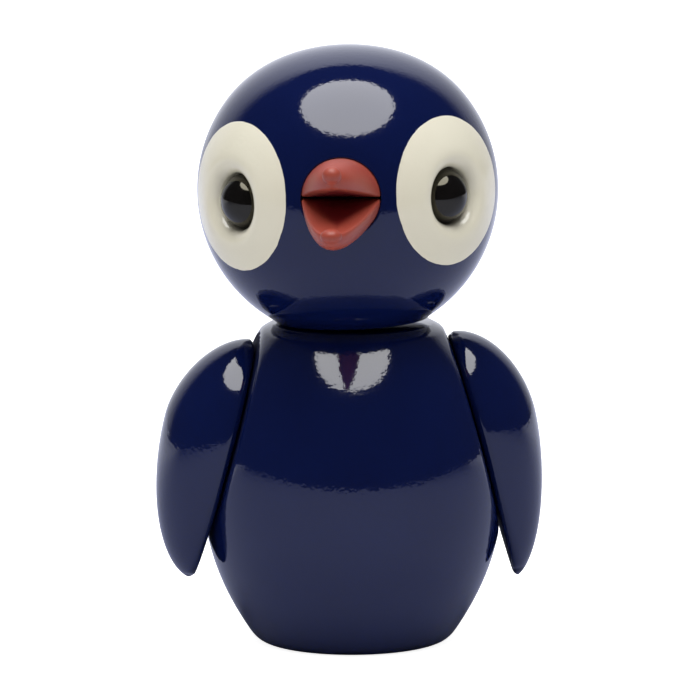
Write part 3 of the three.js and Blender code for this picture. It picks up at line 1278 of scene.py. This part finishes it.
@dataclass
class Barrel:
    """The body: a turned barrel that narrows from the belly to the foot and to the shoulder."""

    height: float = 64.2
    belly_radius: float = 30.2
    belly_height: float = 32.0
    foot_narrowing: float = 11.05
    foot_curve: float = 2.18
    foot_rounding: float = 2.2
    foot_flat: float = 17.4
    shoulder_height: float = 62.5
    shoulder_narrowing: float = 11.42
    shoulder_curve: float = 2.3
    shoulder_rounding: float = 0.9
    neck_flat: float = 16.1
    flat_edge: float = 0.8
    flat_share: float = 0.3  # of the radius, how far a point must lie towards a wing
    side_steps: int = 120
    edge_steps: int = 14
    segments: int = 400

    def side(self, height: float) -> float:
        """Works out the barrel's side.

        Args:
            height: Height above the foot.

        Returns:
            Radius of the side there.
        """
        if height < self.belly_height:
            share = (self.belly_height - height) / self.belly_height
            return self.belly_radius - self.foot_narrowing * share**self.foot_curve
        share = (height - self.belly_height) / (self.shoulder_height - self.belly_height)
        return self.belly_radius - self.shoulder_narrowing * share**self.shoulder_curve

    def slope(self, height: float) -> float:
        """Returns how much the radius grows per millimetre of height."""
        step = 0.01
        return (self.side(height + step) - self.side(height - step)) / (2 * step)

    def outline(self) -> Outline:
        """Works out the whole turned outline.

        Returns:
            Radius and height from the middle of the foot to the middle of the top.
        """
        foot = self.side(self.foot_rounding)
        corner = foot - self.foot_rounding * self.slope(self.foot_rounding)
        shoulder = self.side(self.shoulder_height)
        turn_in = (
            shoulder + self.shoulder_rounding * self.slope(self.shoulder_height),
            self.shoulder_height + self.shoulder_rounding,
        )
        points: Outline = [(0.0, 0.0), (0.5 * self.foot_flat, 0.0)]
        points += quadratic(
            (self.foot_flat, 0.0), (corner, 0.0), (foot, self.foot_rounding), self.edge_steps
        )
        heights = between(self.foot_rounding, self.shoulder_height, self.side_steps)
        points += [(self.side(height), height) for height in heights[1:-1]]
        points += quadratic(
            (shoulder, self.shoulder_height), turn_in, (self.neck_flat, self.height), self.edge_steps
        )
        return points + [(0.5 * self.neck_flat, self.height), (0.0, self.height)]

    def flatten(self, point: Vector, wings: Sequence[WingSide]) -> None:
        """Brings a point of the turned barrel in to the side flats, with a softened edge.

        Args:
            point: Point of the barrel, which is moved towards the axis.
            wings: Wings that lie along the flats.
        """
        for wing in wings:
            outward = wing.outward()
            radius = math.hypot(point.x, point.y)
            towards = outward.x * point.x + outward.y * point.y
            if towards < self.flat_share * radius or radius == 0:
                continue
            reach = outward.dot(wing.pivot) - wing.gap
            flat = (reach - outward.z * point.z) * radius / towards
            overlap = max(self.flat_edge - abs(radius - flat), 0.0)
            share = (min(radius, flat) - overlap**2 / (4 * self.flat_edge)) / radius
            point.x, point.y = point.x * share, point.y * share

    def build(
        self,
        neck: Neck,
        wings: Sequence[WingSide],
        lacquer: bpy.types.Material,
        dull: bpy.types.Material,
    ) -> None:
        """Makes the body with its side flats and the holes for its dowels.

        Args:
            neck: Neck whose dowel is glued into the body.
            wings: Wings whose pegs turn in the body.
            lacquer: Finish of the body.
            dull: Finish of the side flats.
        """
        shell = turned(self.outline(), self.segments)
        for point in shell.points:
            self.flatten(point, wings)
        made = shell.piece("turned_body", Matrix())
        neck_hole = neck.radius + neck.glue_clearance
        cutters = [bore("neck_bore", neck_hole, -neck.in_body, BORE_RUNOUT, neck.place())]
        cutters += [wing.body_bore() for wing in wings]
        cut_away(made, cutters)
        hand_over(made, lacquer, Rides.TRUNK, "body")
        for wing in wings:
            rub(made, dull, wing.pivot - wing.gap * wing.outward(), wing.outward())


@dataclass
class Hollow:
    """A round hollow in the ball of the head, turned about its own axis."""

    axis: Vector
    profile: Outline  # distance off the axis and along it, from the ball's surface inward
    segments: int

    def ring(self, off: float, along: float) -> list[Vector]:
        """Returns the points of one ring about the axis, or one point on it.

        Args:
            off: Distance off the axis.
            along: Distance along the axis from the middle of the ball.

        Returns:
            Points in the head's own axes.
        """
        aim = UP.rotation_difference(self.axis)
        return [aim @ point for point in ring_points(off, along, self.segments)]

    def reach_deg(self) -> float:
        """Returns the angle from the axis to the outermost ring."""
        off, along = self.profile[0]
        return math.degrees(math.atan2(off, along))


@dataclass
class EyeSide:
    """One eye: a polished bead in a flared hollow."""

    node: str
    side: int  # 1 is the bird's left, -1 its right
    spread_deg: float = 50.5
    rise_deg: float = 1.0
    bead_radius: float = 5.6
    bead_centre: float = 24.4
    glue_flat: float = 5.3
    clearance: float = 0.15
    flare_depth: float = 2.6
    flare_curve: float = 4.2
    flare_steps: int = 40
    flare_deg: float = 22.5
    seat_steps: int = 14
    patch_rise_deg: float = 3.3
    patch_spread_deg: float = 29.3
    segments: int = 192
    bead_steps: int = 56
    bead_segments: int = 112

    def direction(self, rise_deg: float) -> Vector:
        """Returns the direction of the eye out of the head, at a rise."""
        return heading(self.side * self.spread_deg, rise_deg)

    def hollow(self, ball: float) -> Hollow:
        """Returns the flare, which steepens towards the bead, and the seat of the bead.

        Args:
            ball: Radius of the ball.

        Returns:
            The hollow of this eye.
        """
        wall = self.bead_radius + self.clearance
        reach = ball * math.sin(math.radians(self.flare_deg))
        profile = []
        for off in between(reach, wall, self.flare_steps):
            share = (reach - off) / (reach - wall)
            depth = self.flare_depth * share**self.flare_curve
            profile.append((off, math.sqrt(ball**2 - off**2) - depth))
        profile.append((wall, 0.5 * (profile[-1][1] + self.bead_centre)))
        profile += arc((0.0, self.bead_centre), wall, 0.0, -math.pi / 2, self.seat_steps)[:-1]
        profile.append((0.0, self.bead_centre - wall))
        return Hollow(self.direction(self.rise_deg), profile, self.segments)

    def build(self, head: Matrix, material: bpy.types.Material) -> None:
        """Makes the bead, with the small flat where it is glued in.

        Args:
            head: Place of the head's own axes.
            material: Finish of the bead.
        """
        back = -math.asin(self.glue_flat / self.bead_radius)
        outline: Outline = [(0.0, -self.glue_flat)]
        outline += arc((0.0, 0.0), self.bead_radius, back, math.pi / 2, self.bead_steps)[:-1]
        outline.append((0.0, self.bead_radius))
        axis = self.direction(self.rise_deg)
        aim = UP.rotation_difference(axis).to_matrix().to_4x4()
        place = head @ Matrix.Translation(axis * self.bead_centre) @ aim
        made = turned(outline, self.bead_segments).piece(f"{self.node}_bead", place)
        hand_over(made, material, Rides.HEAD, self.node)


@dataclass
class Jaw:
    """One half of the beak: a skewed cone cut by the open mouth, with a nub on its front."""

    node: str
    tip: float
    tip_rise: float
    root_pull_out: float
    root_pull_ahead: float
    tip_width: float
    mouth_slope_deg: float
    nub_radius: float
    nub_squash: float
    nub_reach: float
    nub_rise: float
    radius: float = 7.7
    root: float = 28.9
    root_end: float = 25.9
    side_lean: float = -0.045
    mouth_depth: float = 28.0
    gap: float = 0.3
    cone_steps: int = 40
    cone_segments: int = 112
    nub_pole: float = 1.5  # radians from the nub's middle to its last ring
    nub_steps: int = 20
    nub_segments: int = 40
    voxel: float = 0.15
    smoothing: int = 36
    smoothing_share: float = 0.5

    def lean(self, point: Vector) -> Vector:
        """Moves a point of the upright cone as the cone leans towards its tip.

        Args:
            point: Point of the cone before it leans, with +Z forward.

        Returns:
            The point in the beak's own axes, with -Y forward.
        """
        ahead = max(0.0, point.z - self.root)
        slope = self.tip_rise / (self.tip - self.root)
        return Vector(
            (point.x + self.side_lean * ahead, -point.z, point.y + slope * ahead)
        )

    def cone(self) -> Shell:
        """Makes the whole leaning cone that the jaw is cut from.

        Returns:
            The cone in the beak's own axes.
        """
        curve = (
            (self.radius, self.root),
            (self.root_pull_out, self.root_pull_ahead),
            (self.tip_width, self.tip),
            (0.0, self.tip),
        )
        outline: Outline = [(0.0, self.root_end), (self.radius, self.root_end)]
        for t in between(0.0, 1.0, self.cone_steps):
            shares = ((1 - t) ** 3, 3 * t * (1 - t) ** 2, 3 * t * t * (1 - t), t**3)
            outline.append(
                tuple(sum(s * point[axis] for s, point in zip(shares, curve)) for axis in (0, 1))
            )
        outline[-1] = (0.0, self.tip)
        shell = turned(outline, self.cone_segments)
        shell.points = [self.lean(point) for point in shell.points]
        return shell

    def nub(self) -> Shell:
        """Makes the small flattened ball on the front of the jaw.

        Returns:
            The ball in the beak's own axes.
        """
        outline: Outline = [(0.0, -1.0)]
        outline += arc((0.0, 0.0), 1.0, -self.nub_pole, self.nub_pole, self.nub_steps)
        outline.append((0.0, 1.0))
        shell = turned(outline, self.nub_segments)
        middle = Vector(
            (self.side_lean * (self.nub_reach - self.root), -self.nub_reach, self.nub_rise)
        )
        size = Vector((self.nub_radius, self.nub_radius, self.nub_radius * self.nub_squash))
        shell.points = [middle + size * point for point in shell.points]
        return shell

    def faces_of_mouth(self) -> list[tuple[Vector, Vector]]:
        """Works out the planes that bound the jaw towards the mouth.

        Returns:
            A point of each plane and the direction from it into the mouth.
        """
        up = math.copysign(1.0, self.tip_rise)
        slope = math.radians(self.mouth_slope_deg)
        corner = Vector((0.0, -self.mouth_depth, 0.5 * up * self.gap))
        return [
            (corner, Vector((0.0, 0.0, -up))),
            (corner, Vector((0.0, -math.sin(slope), -math.cos(slope))) * up),
        ]

    def open_mouth(self, made: bpy.types.Object) -> None:
        """Cuts the cone off along the planes of the mouth and closes the cuts.

        Args:
            made: The whole cone.
        """
        work = bmesh.new()
        work.from_mesh(made.data)
        for point, into_mouth in self.faces_of_mouth():
            cut = bmesh.ops.bisect_plane(
                work,
                geom=[*work.verts, *work.edges, *work.faces],
                plane_co=point * MM,
                plane_no=into_mouth,
                clear_outer=True,
            )
            rim = [e for e in cut["geom_cut"] if isinstance(e, bmesh.types.BMEdge) and e.is_valid]
            bmesh.ops.holes_fill(work, edges=[e for e in rim if e.is_boundary], sides=0)
        bmesh.ops.recalc_face_normals(work, faces=work.faces)
        bmesh.ops.triangulate(work, faces=work.faces)
        work.to_mesh(made.data)
        work.free()

    def join_nub(self, made: bpy.types.Object) -> None:
        """Joins the nub to the jaw and softens all edges, as thick enamel does.

        Args:
            made: The cut cone.
        """
        nub = self.nub().piece(f"{self.node}_nub", Matrix())
        join = made.modifiers.new("join", "BOOLEAN")
        join.operation = "UNION"
        join.solver = "EXACT"
        join.object = nub
        merge = made.modifiers.new("merge", "REMESH")
        merge.mode = "VOXEL"
        merge.voxel_size = self.voxel * MM
        soften = made.modifiers.new("soften", "SMOOTH")
        soften.factor = self.smoothing_share
        soften.iterations = self.smoothing
        settle(made)
        bpy.data.objects.remove(nub)

    def mouth(self, place: Matrix) -> Mouth:
        """Works out where shade is painted inside the mouth.

        Args:
            place: Place of the beak's own axes.

        Returns:
            The painted shade inside the mouth on this jaw.
        """
        corner, into_mouth = self.faces_of_mouth()[1]
        flat = place.to_3x3()
        return Mouth(
            jaw=self.node,
            throat=(place @ corner) * MM,
            forward=flat @ Vector((0.0, -1.0, 0.0)),
            across=flat @ Vector((1.0, 0.0, 0.0)),
            off_face=flat @ -into_mouth,
        )

    def build(self, place: Matrix, enamel: SatinEnamel) -> None:
        """Makes the jaw.

        Args:
            place: Place of the beak's own axes, with -Y forward.
            enamel: Finish of the jaw.
        """
        made = self.cone().piece(f"{self.node}_jaw", Matrix())
        self.open_mouth(made)
        self.join_nub(made)
        to_metres = Matrix.Diagonal((MM, MM, MM, 1.0))
        made.data.transform(to_metres @ place @ to_metres.inverted())
        shade(made)
        hand_over(made, enamel.material(self.mouth(place)), Rides.HEAD, self.node)


@dataclass
class HeadBall:
    """The head: a turned ball with a flat seat, flared eye hollows and a socket for the beak."""

    radius: float = 30.0
    seat_drop: float = 26.1
    seat_edge: float = 0.5
    seat_pull: float = 0.25  # of the seat's edge, how far its curve is pulled in
    seat_steps: int = 5
    hole_chamfer: float = 0.4
    crown_flattening: float = 1.2
    crown_spread_deg: float = 52.0
    turn_deg: float = -7.0
    beak_rise_deg: float = 4.5
    beak_roll_deg: float = 1.7
    beak_radius: float = 7.7
    beak_clearance: float = 0.12
    socket_floor: float = 25.6
    socket_edge: float = 0.15
    socket_edge_steps: int = 4
    socket_margin: float = 2.4
    socket_steps: int = 8
    mesh_deg: float = 1.25
    mesh_clear: float = 0.6  # of the mesh's step, how far points keep off a ring
    fewest_points: int = 6  # in a row round the crown
    segments: int = 256

    def seat_radius(self) -> float:
        """Returns the radius of the flat seat."""
        return math.sqrt(self.radius**2 - self.seat_drop**2) - self.seat_edge

    def place(self, neck: Neck) -> Matrix:
        """Returns the place of the head's own axes, about the middle of the ball."""
        lift = neck.seat_lift(self.seat_radius()) + self.seat_drop
        return neck.place() @ Matrix.Translation((0.0, 0.0, lift)) @ turn(self.turn_deg, "Z")

    def beak_place(self, neck: Neck) -> Matrix:
        """Returns the place of the beak's own axes, with -Y forward."""
        return self.place(neck) @ turn(-self.beak_rise_deg, "X") @ turn(self.beak_roll_deg, "Y")

    def ball_point(self, polar: float, around: float) -> Vector:
        """Returns a point of the ball.

        Args:
            polar: Angle from the crown.
            around: Angle about the upright axis.

        Returns:
            The point, a little lower near the crown, which is slightly flattened.
        """
        spread = math.radians(self.crown_spread_deg)
        share = min(polar, spread) / spread
        radius = self.radius - self.crown_flattening * math.cos(share * math.pi / 2) ** 2
        across = radius * math.sin(polar)
        return Vector(
            (across * math.cos(around), across * math.sin(around), radius * math.cos(polar))
        )

    def beak_socket(self) -> Hollow:
        """Works out the round socket that the beak is glued into.

        Returns:
            The hollow of the socket.
        """
        wall = self.beak_radius + self.beak_clearance
        rim = wall + self.socket_edge
        offs = between(wall + self.socket_margin, rim, self.socket_steps)
        profile = [(off, math.sqrt(self.radius**2 - off**2)) for off in offs]
        rim_along = profile[-1][1]
        profile += quadratic(
            (rim, rim_along),
            (wall, rim_along),
            (wall, rim_along - self.socket_edge),
            self.socket_edge_steps,
        )[1:]
        profile += [(off, self.socket_floor) for off in (wall, 0.5 * wall, 0.0)]
        return Hollow(heading(0.0, self.beak_rise_deg), profile, self.segments)

    def ball_points(self, hollows: Sequence[Hollow], lowest: float) -> list[Vector]:
        """Returns points spread evenly over the ball outside the hollows.

        Args:
            hollows: Hollows to leave free.
            lowest: Angle from the crown at which the ball ends.

        Returns:
            Points in the head's own axes.
        """
        step = math.radians(self.mesh_deg)
        points = [self.ball_point(0.0, 0.0)]
        rows = int((lowest - self.mesh_clear * step) / step)
        for row in range(1, rows + 1):
            polar = row * step
            count = max(self.fewest_points, round(2 * math.pi * math.sin(polar) / step))
            for number in range(count):
                around = 2 * math.pi * (number + 0.5 * (row % 2)) / count
                point = self.ball_point(polar, around)
                off = [math.degrees(point.angle(h.axis)) - h.reach_deg() for h in hollows]
                if min(off) > self.mesh_clear * self.mesh_deg:
                    points.append(point)
        return points

    def shell(self, hollows: Sequence[Hollow], neck: Neck) -> Shell:
        """Makes the ball, its hollows, the flat seat and the hole for the neck dowel.

        Args:
            hollows: Hollows in the ball.
            neck: Neck that the head turns on.

        Returns:
            One closed shell in the head's own axes.
        """
        shell = Shell()
        lowest = math.pi - math.acos((self.seat_drop - self.seat_edge) / self.radius)
        shell.add_row(self.ball_points(hollows, lowest))
        around = [2 * math.pi * step / self.segments for step in range(self.segments)]
        seat_ring = shell.add_row([self.ball_point(lowest, angle) for angle in around])
        rings = [shell.add_row(hollow.ring(*hollow.profile[0])) for hollow in hollows]
        self._close_ball(shell, [seat_ring, *rings])
        for hollow, ring in zip(hollows, rings):
            inner = [shell.add_row(hollow.ring(off, along)) for off, along in hollow.profile[1:]]
            shell.bridge([ring, *inner])
        hole = neck.radius + neck.turning_clearance
        hole_end = neck.in_head - self.seat_drop
        edge = shell.points[seat_ring[0]]
        edge_radius = math.hypot(edge.x, edge.y)
        outline = quadratic(
            (edge_radius, edge.z),
            (edge_radius - self.seat_pull * self.seat_edge, -self.seat_drop),
            (self.seat_radius(), -self.seat_drop),
            self.seat_steps,
        )[1:]
        outline += [
            (hole + self.hole_chamfer, -self.seat_drop),
            (hole, -self.seat_drop + self.hole_chamfer),
            (hole, hole_end),
            (0.0, hole_end),
        ]
        rows = [shell.add_row(ring_points(off, along, self.segments)) for off, along in outline]
        shell.bridge([seat_ring, *rows])
        return shell

    def _close_ball(self, shell: Shell, rings: Sequence[Sequence[int]]) -> None:
        """Closes the ball between its points, leaving the inside of each ring open.

        Args:
            shell: Shell whose points all lie on the ball.
            rings: Numbers of the points of each ring.
        """
        flat = []
        for point in shell.points:
            outward = point.normalized()
            flat.append(Vector((outward.x, outward.y)) / (1 + outward.z))
        edges = [pair for ring in rings for pair in zip(ring, [*ring[1:], ring[0]])]
        found = delaunay_2d_cdt(flat, edges, [], 0, SAME_POINT, True)
        corners, sources = found[2], found[3]
        inside = [frozenset(ring) for ring in rings[1:]]
        for face in corners:
            numbers = tuple(sources[corner][0] for corner in face)
            if not any(ring.issuperset(numbers) for ring in inside):
                shell.faces.append(numbers)

    def build(self, neck: Neck, eyes: Sequence[EyeSide], lacquer: GlossLacquer) -> None:
        """Makes the head with its painted patches.

        Args:
            neck: Neck that the head turns on.
            eyes: The two eyes.
            lacquer: Finish of the head.
        """
        place = self.place(neck)
        hollows = [eye.hollow(self.radius) for eye in eyes]
        made = self.shell([*hollows, self.beak_socket()], neck).piece("turned_head", place)
        patches = [
            PaintedPatch(
                centre=(place @ Vector()) * MM,
                ball=self.radius,
                axis=place.to_3x3() @ eye.direction(eye.patch_rise_deg),
                spread_deg=eye.patch_spread_deg,
            )
            for eye in eyes
        ]
        hand_over(made, lacquer.material(patches), Rides.HEAD, "head")


@dataclass
class Studio:
    """The pale floor, the round softbox overhead, the pale room behind and the camera.

    Sizes here are in metres, and those of the lens and the sensor in millimetres. Where the room
    begins and ends is given by the part of a direction that points back or sideways, from 0 to 1.
    """

    floor_front: float = 0.48
    floor_back: float = 3.0
    floor_side: float = 2.5
    floor_drop: float = 0.00005
    floor_colour: str = "#efeeec"
    floor_mirrored: str = "#999eb8"
    floor_camera_glow: float = 0.9
    floor_behind_glow: float = 0.7
    floor_behind_start: float = 0.0
    floor_behind_end: float = 0.4
    box_elevation_deg: float = 77.0
    box_distance: float = 0.9
    box_spread_deg: float = 28.0
    box_radiance: float = 5.6
    room_dark: float = 0.04
    room_fill_front: float = 0.1
    room_fill_back: float = 0.7
    room_colour: str = "#f0f3ff"
    room_pale: float = 1.18
    room_pale_start: float = 0.48
    room_pale_full: float = 0.7
    room_side_end: float = 0.88
    room_pale_top_deg: float = 50.8
    room_top_blur: float = 0.02
    camera_azimuth_deg: float = -4.5
    camera_distance: float = 1.35
    camera_height: float = 0.275
    camera_lens: float = 351.8
    camera_sensor: float = 36.0
    camera_near: float = 0.01
    camera_far: float = 20.0
    camera_roll_deg: float = 0.2
    target: Vector = field(default_factory=lambda: Vector((-0.00045, 0.0, 0.05855)))

    def build(self) -> None:
        """Sets up the whole studio."""
        bpy.context.scene.view_settings.view_transform = "Standard"
        self._floor()
        self._room()
        self._softbox()
        self._camera()

    def _floor(self) -> None:
        """Lays the floor, which looks white to the camera and keeps the shadow."""
        corners = [
            (-self.floor_side, -self.floor_front, -self.floor_drop),
            (self.floor_side, -self.floor_front, -self.floor_drop),
            (self.floor_side, self.floor_back, -self.floor_drop),
            (-self.floor_side, self.floor_back, -self.floor_drop),
        ]
        mesh = bpy.data.meshes.new("floor")
        mesh.from_pydata(corners, [], [(0, 1, 2, 3)])
        floor = bpy.data.objects.new("floor", mesh)
        bpy.context.scene.collection.objects.link(floor)
        mesh.materials.append(self._card())

    def _card(self) -> bpy.types.Material:
        """Makes the card: white to the camera, duller in mirrors, and paler there far behind.

        Returns:
            The finished material.
        """
        material = empty_material("matt_white_card")
        tree = material.node_tree
        card = add_node(
            tree, "ShaderNodeBsdfDiffuse", {}, {"Color": linear(self.floor_colour)}
        )
        glow = add_node(tree, "ShaderNodeEmission", {}, {"Strength": self.floor_camera_glow})
        lifted = add_node(
            tree, "ShaderNodeAddShader", {}, {0: card.outputs[0], 1: glow.outputs[0]}
        )
        dull = add_node(
            tree, "ShaderNodeBsdfDiffuse", {}, {"Color": linear(self.floor_mirrored)}
        )
        place = add_node(tree, "ShaderNodeTexCoord", {}, {}).outputs["Object"]
        parts = add_node(tree, "ShaderNodeSeparateXYZ", {}, {0: place})
        behind = add_node(
            tree,
            "ShaderNodeMapRange",
            {"interpolation_type": "SMOOTHSTEP"},
            {
                "Value": parts.outputs["Y"],
                "From Min": self.floor_behind_start,
                "From Max": self.floor_behind_end,
                "To Max": self.floor_behind_glow,
            },
        )
        far = add_node(
            tree,
            "ShaderNodeEmission",
            {},
            {"Color": linear(self.room_colour), "Strength": behind.outputs[0]},
        )
        mirrored = add_node(
            tree, "ShaderNodeAddShader", {}, {0: dull.outputs[0], 1: far.outputs[0]}
        )
        ray = add_node(tree, "ShaderNodeLightPath", {}, {})
        unseen = add_node(
            tree,
            "ShaderNodeMixShader",
            {},
            {0: ray.outputs["Is Glossy Ray"], 1: card.outputs[0], 2: mirrored.outputs[0]},
        )
        both = add_node(
            tree,
            "ShaderNodeMixShader",
            {},
            {0: ray.outputs["Is Camera Ray"], 1: unseen.outputs[0], 2: lifted.outputs[0]},
        )
        add_node(tree, "ShaderNodeOutputMaterial", {}, {"Surface": both.outputs[0]})
        return material

    def _room(self) -> None:
        """Makes the room: white to the camera, a soft fill, and in mirrors pale behind the bird."""
        world = bpy.data.worlds.new("studio_room")
        bpy.context.scene.world = world
        world.use_nodes = True
        tree = world.node_tree
        tree.nodes.clear()
        direction = add_node(tree, "ShaderNodeTexCoord", {}, {}).outputs["Generated"]
        parts = add_node(tree, "ShaderNodeSeparateXYZ", {}, {0: direction})
        light = add_node(
            tree,
            "ShaderNodeMapRange",
            {},
            {
                "Value": self._pale(tree, parts),
                "To Min": self.room_dark,
                "To Max": self.room_pale,
            },
        )
        fill = add_node(
            tree,
            "ShaderNodeMapRange",
            {},
            {
                "Value": parts.outputs["Y"],
                "From Min": -1.0,
                "To Min": self.room_fill_front,
                "To Max": self.room_fill_back,
            },
        )
        ray = add_node(tree, "ShaderNodeLightPath", {}, {})
        lit = add_node(
            tree,
            "ShaderNodeMix",
            {"data_type": "FLOAT"},
            {0: ray.outputs["Is Glossy Ray"], 2: fill.outputs[0], 3: light.outputs[0]},
        )
        tint = add_node(
            tree,
            "ShaderNodeMix",
            {"data_type": "RGBA"},
            {0: ray.outputs["Is Glossy Ray"], 6: WHITE, 7: linear(self.room_colour)},
        )
        room = add_node(
            tree,
            "ShaderNodeBackground",
            {},
            {"Color": tint.outputs[2], "Strength": lit.outputs[0]},
        )
        white = add_node(tree, "ShaderNodeBackground", {}, {"Color": WHITE, "Strength": 1.0})
        both = add_node(
            tree,
            "ShaderNodeMixShader",
            {},
            {0: ray.outputs["Is Camera Ray"], 1: room.outputs[0], 2: white.outputs[0]},
        )
        add_node(tree, "ShaderNodeOutputWorld", {}, {"Surface": both.outputs[0]})

    def _pale(self, tree: bpy.types.NodeTree, parts: bpy.types.Node) -> bpy.types.NodeSocket:
        """Adds how pale the room is: behind the bird, below a line and towards the middle.

        Args:
            tree: Tree of the world.
            parts: Node that holds the three parts of a direction.

        Returns:
            Output that is one where the room is palest.
        """
        behind = add_node(
            tree,
            "ShaderNodeMapRange",
            {"interpolation_type": "SMOOTHSTEP"},
            {
                "Value": parts.outputs["Y"],
                "From Min": self.room_pale_start,
                "From Max": self.room_pale_full,
            },
        )
        top = math.sin(math.radians(self.room_pale_top_deg))
        low = add_node(
            tree,
            "ShaderNodeMapRange",
            {"interpolation_type": "SMOOTHSTEP"},
            {
                "Value": parts.outputs["Z"],
                "From Min": top - self.room_top_blur,
                "From Max": top + self.room_top_blur,
                "To Min": 1.0,
                "To Max": 0.0,
            },
        )
        squared = add_node(
            tree,
            "ShaderNodeMath",
            {"operation": "MULTIPLY"},
            {0: parts.outputs["X"], 1: parts.outputs["X"]},
        )
        middle = add_node(
            tree,
            "ShaderNodeMapRange",
            {},
            {
                "Value": squared.outputs[0],
                "From Max": self.room_side_end**2,
                "To Min": 1.0,
                "To Max": 0.0,
            },
        )
        band = add_node(
            tree,
            "ShaderNodeMath",
            {"operation": "MULTIPLY"},
            {0: behind.outputs[0], 1: low.outputs[0]},
        )
        pale = add_node(
            tree,
            "ShaderNodeMath",
            {"operation": "MULTIPLY"},
            {0: band.outputs[0], 1: middle.outputs[0]},
        )
        return pale.outputs[0]

    def _softbox(self) -> None:
        """Hangs the round softbox almost overhead, a little in front."""
        away = heading(self.camera_azimuth_deg, self.box_elevation_deg)
        lamp = bpy.data.lights.new("softbox", "AREA")
        lamp.shape = "DISK"
        lamp.size = 2 * self.box_distance * math.tan(math.radians(self.box_spread_deg))
        area = math.pi * (lamp.size / 2) ** 2
        lamp.energy = self.box_radiance * math.pi * area
        softbox = bpy.data.objects.new("softbox", lamp)
        softbox.location = self.target + away * self.box_distance
        softbox.rotation_euler = (-away).to_track_quat("-Z", "Y").to_euler()
        bpy.context.scene.collection.objects.link(softbox)

    def _camera(self) -> None:
        """Sets the camera at the photograph's viewing angle."""
        eye = heading(self.camera_azimuth_deg, 0.0) * self.camera_distance
        eye.z = self.camera_height
        aim = (self.target - eye).to_track_quat("-Z", "Y").to_matrix().to_4x4()
        data = bpy.data.cameras.new("camera")
        data.lens = self.camera_lens
        data.sensor_width = self.camera_sensor
        data.clip_start, data.clip_end = self.camera_near, self.camera_far
        camera = bpy.data.objects.new("camera", data)
        camera.matrix_world = Matrix.Translation(eye) @ aim @ turn(-self.camera_roll_deg, "Z")
        bpy.context.scene.collection.objects.link(camera)
        bpy.context.scene.camera = camera


def hinge_points(frame: dict) -> dict[str, Vector]:
    """Returns the pivot of each joint in millimetres, by the joint's name."""
    return {joint["name"]: Vector(joint["pos_m"]) / MM for joint in frame["joints"]}


def main() -> None:
    """Loads the frame and builds the bird and its studio in order."""
    logging.basicConfig(level=logging.INFO, format="%(name)s: %(message)s")
    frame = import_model()
    pivots = hinge_points(frame)
    lacquer, beech = GlossLacquer(), BareBeech()
    navy, dull, black = lacquer.material(), lacquer.rubbed(), PolishedBead().material()
    neck = Neck(pivot=pivots["head_turn"])
    head = HeadBall()
    wings = [
        WingSide(
            node="left_wing",
            body=Rides.LEFT_WING,
            pivot=pivots["left_wing_swing"],
            side_turn_deg=0.0,
            length=51.8,
            widest=19.0,
            thickness=12.9,
            top_curve=1.93,
            tip_curve=1.62,
        ),
        WingSide(
            node="right_wing",
            body=Rides.RIGHT_WING,
            pivot=pivots["right_wing_swing"],
            side_turn_deg=180.0,
            length=49.9,
            widest=18.8,
            thickness=13.7,
            top_curve=1.77,
            tip_curve=1.87,
        ),
    ]
    eyes = [EyeSide(node="left_eye", side=1), EyeSide(node="right_eye", side=-1)]
    jaws = [
        Jaw(
            node="upper_beak",
            tip=48.5,
            tip_rise=4.8,
            root_pull_out=6.4,
            root_pull_ahead=35.6,
            tip_width=3.6,
            mouth_slope_deg=7.8,
            nub_radius=1.9,
            nub_squash=0.9,
            nub_reach=48.2,
            nub_rise=5.6,
        ),
        Jaw(
            node="lower_beak",
            tip=50.5,
            tip_rise=-6.7,
            root_pull_out=6.6,
            root_pull_ahead=36.2,
            tip_width=4.0,
            mouth_slope_deg=-14.6,
            nub_radius=2.1,
            nub_squash=0.7,
            nub_reach=49.6,
            nub_rise=-6.1,
        ),
    ]
    Barrel().build(neck, wings, navy, dull)
    neck.build(head.seat_radius(), beech)
    head.build(neck, eyes, lacquer)
    for eye in eyes:
        eye.build(head.place(neck), black)
    for jaw in jaws:
        jaw.build(head.beak_place(neck), SatinEnamel())
    for wing in wings:
        wing.build(navy, dull, beech)
    Studio().build()


if __name__ == "__main__":
    main()
